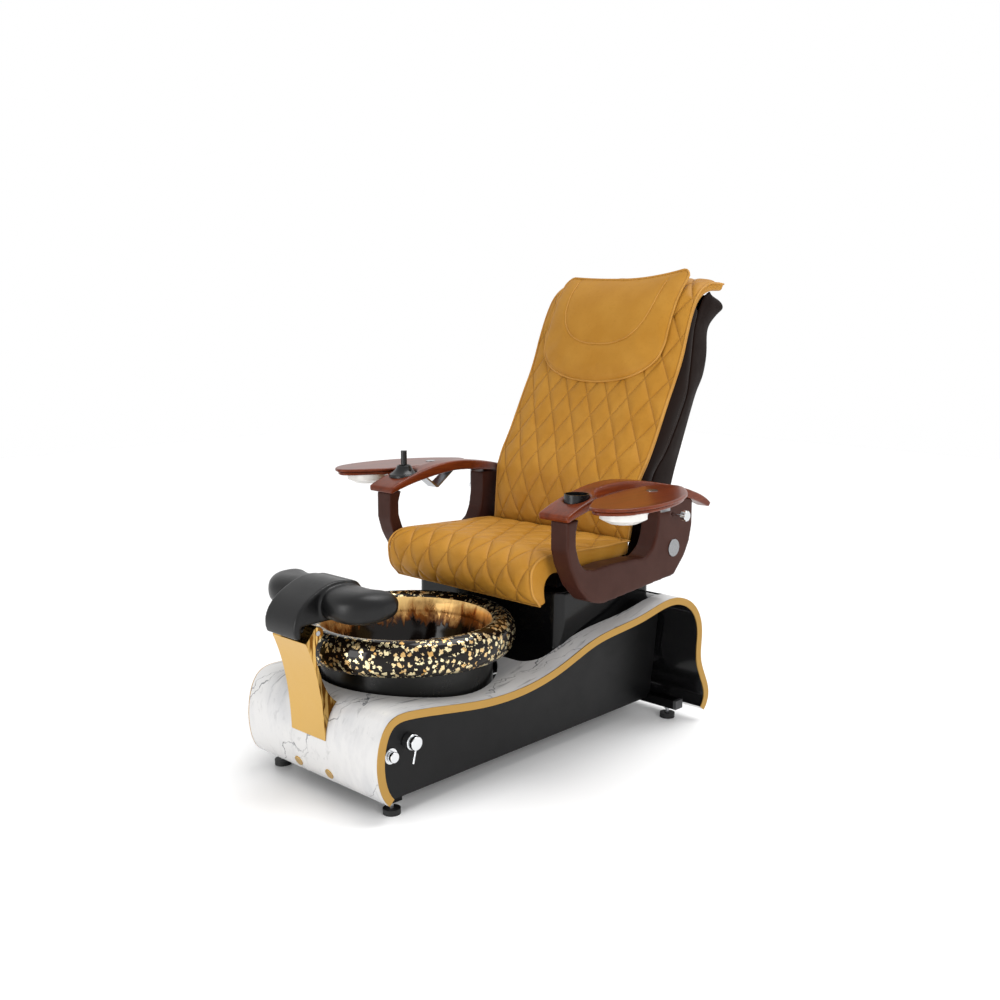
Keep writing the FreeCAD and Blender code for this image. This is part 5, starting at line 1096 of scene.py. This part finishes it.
# Lines seen from the side as (y, z): the pads' piped edges and backs, the leathers' seam and the shell's front and
# rear. The halves are half widths at shares of a piped edge's length.
BACK_EDGE = ((246, 546), (266, 690), (284, 740), (334, 822), (397, 941), (427, 995), (455, 1056), (484, 1132),
             (504, 1178), (530, 1224), (562, 1255), (604, 1273), (650, 1276), (690, 1273))
BACK_REAR = ((266, 546), (285, 686), (301, 730), (350, 812), (414, 934), (445, 989), (474, 1049), (503, 1126),
             (522, 1170), (546, 1210), (573, 1234), (609, 1249), (650, 1254), (684, 1253))
BACK_HALVES = ((0.0, 262), (0.14, 269), (0.25, 279), (0.55, 279.5), (0.65, 281), (0.75, 278), (0.9, 272), (1.0, 268))
SEAT_HALVES = ((0, 278), (0.3, 280), (0.85, 280), (1, 274))
SEAT_EDGE = ((-144, 434), (-150, 441), (-174, 470), (-181, 507), (-179, 533), (-163, 552), (-139, 562), (-107, 565),
             (-17, 561), (38, 559), (121, 555), (178, 555), (238, 552))
SEAT_REAR = ((-116, 437), (-118, 445), (-121, 466), (-120, 484), (-114, 496), (-106, 504), (-96, 510), (-80, 512),
             (-8, 512), (42, 512), (121, 512), (178, 512), (237, 512))
GUSSET_SEAM = ((338, 562), (340, 640), (354, 722), (419, 792), (478, 882), (514, 950), (524, 1000), (534, 1073),
               (543, 1140), (560, 1190))
SHELL_NEAR = ((340, 560), (342, 640), (356, 722), (421, 792), (480, 882), (516, 950), (526, 1000), (536, 1073),
              (545, 1140), (562, 1188), (578, 1218), (596, 1238), (622, 1249))
SHELL_REAR = ((470, 520), (505, 632), (533, 712), (568, 796), (604, 880), (637, 950), (672, 1000), (689, 1062),
              (690, 1138), (734, 1178), (772, 1200), (752, 1222), (676, 1243))


@dataclass(frozen=True)
class SideLeather:
    """Sizes of the dark leather between the back pad's rear edge and the shell, puffed along its middle."""

    near_start: Pair = (250, 504)
    far_start: Pair = (316, 508)
    near_end: Pair = (546, 1210)
    rear_half: float = 267.0
    inset: float = 5.0
    sunk: float = 2.0
    puff: float = 5.0
    puff_end: float = 5.0
    behind: float = 1.0
    thick: float = 7.0
    rows: int = 44
    columns: int = 8

    def grid(self, sign: int) -> Grid:
        """Gives the outer face on one side, from the seat up and from the pad back."""
        near = Curve2D((self.near_start, *BACK_REAR))
        far = Curve2D((self.far_start, *GUSSET_SEAM))
        last = near.share_near(*self.near_end)
        grid: Grid = []
        for row in range(self.rows + 1):
            share = row / self.rows
            front_spot, rear_spot = near.at(share * last), far.at(share)
            half_front = between(BACK_HALVES, share * last) - self.inset
            line = []
            for column in range(self.columns + 1):
                t = column / self.columns
                spot = front_spot.lerp(rear_spot, t)
                puff = self.puff * math.sin(math.pi * t) * min(1.0, (1 - share) * self.puff_end)
                half = half_front + (self.rear_half - half_front) * t + puff - self.sunk
                line.append(Vector((sign * half, spot.x + self.behind, spot.y)))
            grid.append(line)
        return grid


class Upholstery:
    """The seat cushion, the back pad, the pillow and the leather sides."""

    def __init__(self, finishes: Finishes) -> None:
        """Takes the finishes and makes the threads and welts."""
        self.finishes = finishes
        self.vinyl = Vinyl("quilted_vinyl", quilted=True).build()
        self.plain = finishes.get("vinyl_caramel")
        self.welt = Vinyl("piping_vinyl", "#B58239", "#9A6824", "#BF8D45", 1.0, 0.1, 0.4).build()
        self.thread = stitch_tree(Plastic("caramel_thread", "#C38D45", 0.6, 0.3, 0.02).build())
        self.dark_thread = stitch_tree(Plastic("dark_thread", "#3A2E28", 0.6, 0.3, 0.02).build())

    def pads(self) -> None:
        """Makes the seat and back pads and puts them in place of their CAD solids."""
        seat = PadSize(SEAT_EDGE, SEAT_REAR, SEAT_HALVES, 9, 46)
        back = PadSize(BACK_EDGE, BACK_REAR, BACK_HALVES, 19, 64)
        for node, body, size, start in (("seat_cushion", "seat", seat, 54.0), ("back_pad", "back", back, 30.0)):
            pad = LongPad(node + "_cover", size, Quilt(start=start), self.vinyl, self.welt, self.thread)
            piece = pad.build()
            pad.trim(piece, body)
            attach(piece, body)
            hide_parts(node)
            log.info("%s: %d faces", piece.name, len(piece.data.polygons))

    def pillow(self) -> None:
        """Makes the headrest flap: plain, piped round its edge, with a sewn U inside."""
        size = PillowSize()
        front, back = size.grids()
        pad = Pad("headrest_flap", front, back, (2.0,), self.plain)
        inflated(pad.piece, pad.fixed, size.pressure, size.cap)
        subdivided(pad.piece, 2)
        inner = size.inner_path()
        points = [Vector((spot.x, spot.z)) for spot in inner]

        def drawn(spot: Vector, normal: Vector) -> Vector:
            """Pulls the face in beside the inner seam."""
            if normal.y > 0:
                return Vector()
            flat = Vector((spot.x, spot.z))
            near = min((flat - point).length for point in points)
            pull = -size.pull * math.exp(-(near / size.reach) ** 2)
            return normal * (pull + size.crumple * noise.noise(spot / size.crumple_size))

        moved(pad.piece, drawn)
        welt = tube("headrest_flap_seam", laid_on(pad.piece, spaced(inner, 7), 0.6), size.welt, self.welt)
        edge = [front[index // pad.columns][index % pad.columns] for index in pad.rim]
        rim = tube("headrest_flap_piping", spaced(edge, 8, closed=True), size.piping, self.welt, closed=True)
        for piece in (pad.piece, welt, rim):
            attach(piece, "back")
        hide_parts("headrest_pillow")
        log.info("headrest flap: %d faces", len(pad.piece.data.polygons))

    def sides(self) -> None:
        """Makes the dark leather sides between the back pad and the shell."""
        leather = self.finishes.get("leather_dark")
        size = SideLeather()
        for sign, word in ((1, "left"), (-1, "right")):
            grid = size.grid(sign)
            inner = [[spot - Vector((sign * size.thick, 0, 0)) for spot in line] for line in grid]
            pad = Pad("side_leather_" + word, grid, inner, (1.0,), leather)
            subdivided(pad.piece, 2)
            seam = [line[size.columns - 2] for line in grid]
            sewn = stitches("side_stitches_" + word, [laid_on(pad.piece, seam, 0.15)], self.dark_thread, SIDE_STITCH)
            for piece in (pad.piece, sewn):
                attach(piece, "back")
            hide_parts("back_gusset")
        log.info("side leathers made")


@dataclass(frozen=True)
class PillowSize:
    """Sizes of the headrest flap.

    The lift is how much higher the lower edge ends than its middle, the wing and the droop raise the two top corners,
    and the pull draws the face in along the sewn U, given as (x, z). The rest is the pad's line behind it as (y, z).
    """

    half: float = 230.0
    low: float = 984.0
    lift: float = 118.0
    top: float = 1289.0
    wing: float = 33.0
    droop: float = 10.0
    corner: float = 22.0
    corner_run: Pair = (0.88, 0.12)
    roundness: float = 2.2
    thick: float = 27.0
    thin: float = 7.0
    crown: float = 20.0
    narrower: float = 0.81
    spread: Pair = (0.6, 0.4)
    pressure: float = 3.0
    cap: float = 4.0
    welt: float = 2.0
    piping: float = 3.4
    pull: float = 2.6
    reach: float = 6.0
    crumple: float = 0.7
    crumple_size: float = 60.0
    columns: int = 40
    rows: int = 26
    seam_steps: int = 30
    seam: tuple[Pair, ...] = ((0, 1096), (35, 1097), (70, 1103), (111, 1121), (144, 1155), (162, 1200), (169, 1250),
                              (171, 1286))
    rest: tuple[Pair, ...] = ((404, 960), (420, 990), (442, 1040), (462, 1086), (482, 1140), (500, 1182),
                              (520, 1220), (543, 1252), (575, 1288), (592, 1312))

    def span(self, u: float) -> Pair:
        """Gives the lower and the upper edge's height at a place across, from -1 to 1."""
        low = self.low + self.lift * (1 - max(0.0, 1 - abs(u) ** self.roundness) ** (1 / self.roundness))
        start, run = self.corner_run
        late = max(0.0, abs(u) - start) / run
        wing = self.wing if u > 0 else self.droop
        return low, self.top + wing * u * u - self.corner * late ** 2.4

    def spot(self, u: float, v: float, depth: float) -> Vector:
        """Gives a point of the flap.

        Args:
            u: Place across, from -1 to 1.
            v: Place from the lower edge to the top, from 0 to 1.
            depth: Distance in front of the back pad's edge line.

        Returns:
            The point in millimetres.
        """
        low, top = self.span(u)
        z = low + (top - low) * v
        y = between([(height, place) for place, height in self.rest], z)
        # The pad's crown falls away to its sides, and so does the flap
        return Vector((u * self.half, y - self.crown * crowned(abs(u * self.narrower)) - depth, z))

    def grids(self) -> tuple[Grid, Grid]:
        """Gives the face and the back of the flap."""
        front: Grid = []
        back: Grid = []
        for row in range(self.rows + 1):
            v = row / self.rows
            front_line, back_line = [], []
            for u in spread_out(self.columns, *self.spread):
                edge = (1 - abs(u) ** 5) * (1 - (2 * v - 1) ** 6)
                depth = self.thin + (self.thick - self.thin) * math.sqrt(max(edge, 0.0))
                front_line.append(self.spot(u, v, depth))
                back_line.append(self.spot(u, v, 2.0))
            front.append(front_line)
            back.append(back_line)
        return front, back

    def inner_path(self) -> list[Vector]:
        """Gives the U-shaped seam inside the flap, from one top corner to the other."""
        curve = Curve2D(self.seam, 8)
        path = []
        for index in range(-self.seam_steps, self.seam_steps + 1):
            spot = curve.at(abs(index) / self.seam_steps)
            x = math.copysign(spot.x, index)
            low, top = self.span(x / self.half)
            path.append(self.spot(x / self.half, (spot.y - low) / (top - low), self.thick))
        return path


@dataclass(frozen=True)
class Easing:
    """How one CAD solid's sharp edges are softened.

    A bevel rounds clean edges; a skin is remade in small cells and smoothed, for moulded and sanded forms. The level
    gives two heights of the solid and their new heights, and moves all but what lies below the first one by more than
    the slack. The spread widens the solid about its centre, but not within the circle kept as (x, y, radius).
    """

    body: str
    bevel: float = 0.0
    cell: float = 0.0
    passes: int = 0
    level: tuple[float, float, float, float] | None = None
    spread: float = 1.0
    centre: Pair = (0.0, 0.0)
    kept: Triple = (0.0, 0.0, 0.0)
    slack: float = 0.6

    def place(self, spot: Vector, mirror: float) -> Vector:
        """Moves a point in millimetres to the levels and the spread of the eased form."""
        centre = Vector((self.centre[0] * mirror, self.centre[1]))
        flat = Vector((spot.x, spot.y))
        if (flat - Vector((self.kept[0] * mirror, self.kept[1]))).length > self.kept[2]:
            flat = centre + (flat - centre) * self.spread
        z = spot.z
        if self.level is not None and z > self.level[0] - self.slack:
            low, high, new_low, new_high = self.level
            z = new_low + (z - low) * (new_high - new_low) / (high - low)
        return Vector((flat.x, flat.y, z))


# Faces that meet flatter than the first angle are one face, and a bevel rounds edges sharper than the second
FLAT_ANGLE = math.radians(0.8)
SHARP_ANGLE = math.radians(32)


def eased(frame: dict, finishes: Finishes, node: str, easing: Easing) -> None:
    """Makes a copy of a CAD solid with its sharp edges softened, in the solid's place.

    Args:
        frame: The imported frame.
        finishes: The finishes of the record's slots.
        node: The CAD node's name.
        easing: The softening and the body that carries the piece.
    """
    mesh = frame["nodes"][node].data.copy()
    mesh.name = node + "_eased"
    mirror = -1.0 if node.endswith("right") else 1.0
    work = bmesh.new()
    work.from_mesh(mesh)
    bmesh.ops.remove_doubles(work, verts=work.verts, dist=CAD_WELD)
    for vertex in work.verts:
        vertex.co = easing.place(vertex.co / MM, mirror) * MM
    if easing.bevel:
        bmesh.ops.dissolve_limit(work, angle_limit=FLAT_ANGLE, verts=work.verts, edges=work.edges)
        sharp = [edge for edge in work.edges if len(edge.link_faces) == 2 and edge.calc_face_angle(0.0) > SHARP_ANGLE]
        bmesh.ops.bevel(work, geom=sharp, offset=easing.bevel * MM, offset_type="OFFSET", segments=3,
                        profile=0.5, affect="EDGES", clamp_overlap=True)
    work.to_mesh(mesh)
    work.free()
    shade(mesh, bool(easing.bevel or easing.cell))
    piece = linked(mesh.name, mesh)
    if easing.cell:
        skin = piece.modifiers.new("skin", "REMESH")
        skin.mode = "VOXEL"
        skin.voxel_size = easing.cell * MM
        skin.use_smooth_shade = True
        soft = piece.modifiers.new("soft", "SMOOTH")
        soft.factor = 0.5
        soft.iterations = easing.passes
    elif easing.bevel:
        piece.modifiers.new("even", "WEIGHTED_NORMAL")
    applied(piece)
    piece.data.materials.clear()
    piece.data.materials.append(finishes.get(finishes.slots[node]))
    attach(piece, easing.body)
    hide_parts(node)
    log.info("%s: %d faces", piece.name, len(piece.data.polygons))


@dataclass(frozen=True)
class Arms:
    """The wood caps and painted panels of the arms, and the lid, board, emblem and dish of each tray."""

    cap: Easing = Easing("arm_left", cell=2.6, passes=28)
    panel: Easing = Easing("arm_left", cell=3.2, passes=5)
    lid: Easing = Easing("lid_left", cell=2.0, passes=5, level=(716, 731, 717.2, 726), spread=1.03, centre=(462, 35))
    board: Easing = Easing("tray_left", cell=2.0, passes=5, level=(701, 716, 706.5, 715.8), spread=1.02,
                           centre=(462, 35), kept=(489, -78, 74))
    emblem: Easing = Easing("lid_left", level=(731, 732.5, 726, 727.5), spread=1.001, centre=(462, 35))
    dish: Easing = Easing("tray_left", level=(668, 714, 676, 714))

    def build(self, frame: dict, finishes: Finishes) -> None:
        """Softens each piece of the left arm, and then the same piece of the right one."""
        for node, easing in (("arm_cap_left", self.cap), ("arm_panel_left", self.panel), ("lid_left", self.lid),
                             ("tray_board_left", self.board), ("lid_emblem_left", self.emblem),
                             ("dish_left", self.dish)):
            eased(frame, finishes, node, easing)
            right_body = easing.body.replace("left", "right")
            eased(frame, finishes, node.replace("left", "right"), replace(easing, body=right_body))


@dataclass(frozen=True)
class Footrest:
    """The moulded foot pad and the gold post that carries it."""

    pad: Easing = Easing("footrest", cell=3.0, passes=12)
    post: Easing = Easing("base", bevel=2.5)

    def build(self, frame: dict, finishes: Finishes) -> None:
        """Rounds the pad's lobes and the post's drawn edges."""
        eased(frame, finishes, "footrest_pad", self.pad)
        eased(frame, finishes, "footrest_post", self.post)


@dataclass(frozen=True)
class EdgeTrims:
    """The gold band along each edge of the wave panel."""

    band: Easing = Easing("base", bevel=2.6)

    def build(self, frame: dict, finishes: Finishes) -> None:
        """Rounds both bands' edges."""
        for word in ("left", "right"):
            eased(frame, finishes, "edge_trim_" + word, self.band)


@dataclass(frozen=True)
class StickDome:
    """The black dome round the short stick on the right arm."""

    dome: Easing = Easing("arm_right", cell=1.5, passes=6, level=(705, 735, 705, 742), spread=1.18,
                          centre=(-335, -69))

    def build(self, frame: dict, finishes: Finishes) -> None:
        """Widens the dome at its foot and rounds it."""
        eased(frame, finishes, "joystick_base", self.dome)


@dataclass(frozen=True)
class Bowl:
    """The foot bowl's section as (radius, height): down the inner wall, along the floor, and the roll outside.

    Everything within the wall's reach, a radius and a height, is marked as inner wall.
    """

    centre_y: float = -362.0
    wall_reach: Pair = (225.5, 394.5)
    wall: tuple[Pair, ...] = ((225, 393), (221, 380), (217, 360), (213, 342), (188, 262), (150, 201), (121, 181),
                              (60, 174), (26.5, 172), (26.5, 162), (60, 163), (126, 170), (160, 194), (198, 258),
                              (214, 304), (222, 316))
    roll: tuple[Pair, ...] = ((222, 316), (262, 316), (276, 322), (285, 338), (288, 360), (285, 381), (276, 396),
                              (262, 405), (246, 405), (233, 400), (225, 393))
    sides: int = 128

    def build(self, finishes: Finishes) -> None:
        """Builds the bowl in place of its CAD solid, marked where the wall is."""
        wall = Curve2D(self.wall, 4).line
        roll = Curve2D(self.roll, 6).line
        section = [*wall[:-1], *roll[:-1]]
        count = len(section)
        spots = []
        for side in range(self.sides):
            turn = math.tau * side / self.sides
            spots += [Vector((spot.x * math.cos(turn), self.centre_y + spot.x * math.sin(turn), spot.y))
                      for spot in section]
        faces = [(side * count + index, side * count + (index + 1) % count,
                  (side + 1) % self.sides * count + (index + 1) % count, (side + 1) % self.sides * count + index)
                 for side in range(self.sides) for index in range(count)]
        piece = mesh_piece("foot_bowl_glass", spots, faces, finishes.get("bowl_glass"))
        mark = piece.data.attributes.new("wall", "FLOAT", "POINT")
        reach, top = self.wall_reach
        for vertex in piece.data.vertices:
            radius = math.hypot(vertex.co.x, vertex.co.y - self.centre_y * MM)
            mark.data[vertex.index].value = float(radius < reach * MM and vertex.co.z < top * MM)
        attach(piece, "base")
        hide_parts("foot_bowl")
        log.info("bowl: %d faces", len(faces))


@dataclass(frozen=True)
class BackShell:
    """The satin shell behind the back: flat sides, round rear corners and a rolled lip.

    Its front and rear edges are seen from the side. The swell and the bow curve its sides and its rear outward.
    """

    near: tuple[Pair, ...] = SHELL_NEAR
    rear: tuple[Pair, ...] = SHELL_REAR
    half: float = 266.0
    rear_half: float = 224.0
    corner: float = 34.0
    wall: float = 5.0
    swell: float = 3.0
    bow: float = 6.0
    most_corner: float = 0.4
    least_depth: float = 30.0
    side_steps: int = 8
    turn_steps: int = 6
    rear_steps: int = 8
    rows_between: int = 4

    def section(self, near: Vector, rear: Vector) -> list[Vector]:
        """Gives one section from the left front edge round the rear to the right front edge."""
        depth = (rear - near).length
        corner = min(self.corner, depth * self.most_corner)
        start = (self.half + (self.rear_half - self.half) * (1 - corner / depth), 1 - corner / depth)
        middle, stop = (self.rear_half, 1.0), (self.rear_half - corner, 1.0)
        half_line: list[Pair] = []
        for t in (step / self.side_steps for step in range(self.side_steps)):
            x, share = blended((self.half, 0.0), start, t)
            half_line.append((x + self.swell * math.sin(math.pi * t), share))
        for t in (step / self.turn_steps for step in range(self.turn_steps)):
            half_line.append(blended(blended(start, middle, t), blended(middle, stop, t), t))
        for t in (step / self.rear_steps for step in range(self.rear_steps + 1)):
            half_line.append((stop[0] * (1 - t), 1.0 + self.bow / max(depth, self.least_depth) * (1 - (1 - t) ** 2)))
        line = []
        for x, share in half_line + [(-x, share) for x, share in half_line[-2::-1]]:
            spot = near + (rear - near) * share
            line.append(Vector((x, spot.x, spot.y)))
        return line

    def build(self, finishes: Finishes) -> None:
        """Builds the shell in place of its CAD solid."""
        near, rear = Curve2D(self.near), Curve2D(self.rear)
        places = [step / self.rows_between for step in range((len(self.near) - 1) * self.rows_between + 1)]
        grid = [self.section(near.through(place), rear.through(place)) for place in places]
        pad = Pad("back_shell_moulding", grid, offset_grid(grid, -self.wall), (), finishes.get("shell_dark"))
        subdivided(pad.piece, 1)
        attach(pad.piece, "back")
        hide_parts("back_shell")
        log.info("back shell: %d faces", len(pad.piece.data.polygons))


# Stage and run


@dataclass(frozen=True)
class SoftBox:
    """A square soft light aimed at the chair, in metres and watts."""

    name: str
    power: float
    size: float
    place: Triple
    glossy: bool
    aim: Triple = (0.0, 0.0, 0.6)

    def build(self) -> None:
        """Hangs the light at its place."""
        data = bpy.data.lights.new(self.name, "AREA")
        data.energy = self.power
        data.size = self.size
        lamp = linked(self.name, data)
        lamp.location = self.place
        lamp.visible_glossy = self.glossy
        lamp.rotation_euler = (Vector(self.aim) - Vector(self.place)).to_track_quat("-Z", "Y").to_euler()


@dataclass(frozen=True)
class Stage:
    """A pale floor, a plain sky, a wide sun and two soft lights, and the photo's camera."""

    floor_size: float = 14.0
    zenith: float = 0.7
    horizon: float = 0.36
    sun_power: float = 1.9
    sun_width: float = 38.0
    sun_way: Triple = (-0.16, -0.36, -1.0)
    boxes: tuple[SoftBox, ...] = (SoftBox("key", 36.0, 1.5, (-0.3, -3.4, 0.8), True),
                                  SoftBox("fill", 46.0, 1.6, (3.0, -0.8, 1.4), False))
    camera_place: Triple = (2.215, -2.318, 1.203)
    camera_up: Triple = (-0.114, 0.119, 0.986)
    camera_back: Triple = (0.682, -0.712, 0.165)
    lens: float = 41.33

    def build(self) -> None:
        """Builds the floor, the sky, the lights and the camera."""
        self.floor()
        self.sky()
        for box in self.boxes:
            box.build()
        sun = linked("sun", bpy.data.lights.new("sun", "SUN"))
        sun.data.energy = self.sun_power
        sun.data.angle = math.radians(self.sun_width)
        sun.rotation_euler = Vector(self.sun_way).to_track_quat("-Z", "Y").to_euler()
        self.camera()
        log.info("stage built")

    def floor(self) -> None:
        """Lays the pale floor, which is no part of the chair."""
        half = self.floor_size / 2
        mesh = bpy.data.meshes.new("floor")
        mesh.from_pydata([(-half, -half, 0), (half, -half, 0), (half, half, 0), (-half, half, 0)], [], [(0, 1, 2, 3)])
        floor = linked("floor", mesh)
        paint = Surface("studio_floor")
        paint.set(Base_Color=(0.96, 0.96, 0.96, 1.0), Roughness=0.4)
        mesh.materials.append(paint.material)

    def sky(self) -> None:
        """Makes a sky that lights softly from above but looks plain white, also in reflections."""
        world = bpy.data.worlds.new("studio")
        bpy.context.scene.world = world
        world.use_nodes = True
        tree = world.node_tree
        tree.nodes.clear()
        way = add_node(tree, "ShaderNodeSeparateXYZ", {0: add_node(tree, "ShaderNodeTexCoord").outputs["Generated"]})
        level = add_node(tree, "ShaderNodeMapRange", {
            "Value": way.outputs["Z"], "From Min": 0.0, "From Max": 0.8, "To Min": self.horizon, "To Max": self.zenith})
        back = add_node(tree, "ShaderNodeBackground", {"Color": (1, 1, 1, 1), "Strength": level.outputs[0]})
        seen = add_node(tree, "ShaderNodeBackground", {"Color": (1, 1, 1, 1), "Strength": 1.0})
        path = add_node(tree, "ShaderNodeLightPath")
        shiny = add_node(tree, "ShaderNodeMath", {
            0: path.outputs["Is Glossy Ray"], 1: path.outputs["Is Transmission Ray"]}, operation="MAXIMUM")
        direct = add_node(tree, "ShaderNodeMath", {
            0: path.outputs["Is Camera Ray"], 1: shiny.outputs[0]}, operation="MAXIMUM")
        mix = add_node(tree, "ShaderNodeMixShader", {0: direct.outputs[0], 1: back.outputs[0], 2: seen.outputs[0]})
        add_node(tree, "ShaderNodeOutputWorld", {"Surface": mix.outputs[0]})

    def camera(self) -> None:
        """Sets up the camera that the photo was fitted with."""
        camera = linked("camera", bpy.data.cameras.new("camera"))
        camera.data.lens = self.lens
        camera.data.sensor_width = 36.0
        camera.data.clip_end = 100.0
        third = Vector(self.camera_back).normalized()
        first = Vector(self.camera_up).cross(third).normalized()
        camera.matrix_world = Matrix((first, third.cross(first).normalized(), third)).transposed().to_4x4()
        camera.location = self.camera_place
        bpy.context.scene.camera = camera


def main() -> None:
    """Builds the looks in order."""
    logging.basicConfig(level=logging.INFO, format="%(name)s: %(message)s")
    random.seed(7)
    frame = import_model()
    bpy.context.scene.view_settings.view_transform = "Standard"
    finishes = Finishes(frame)
    finishes.dress_all()
    upholstery = Upholstery(finishes)
    upholstery.pads()
    upholstery.pillow()
    upholstery.sides()
    BackShell().build(finishes)
    Bowl().build(finishes)
    Arms().build(frame, finishes)
    Footrest().build(frame, finishes)
    EdgeTrims().build(frame, finishes)
    StickDome().build(frame, finishes)
    Stage().build()


if __name__ == "__main__":
    main()
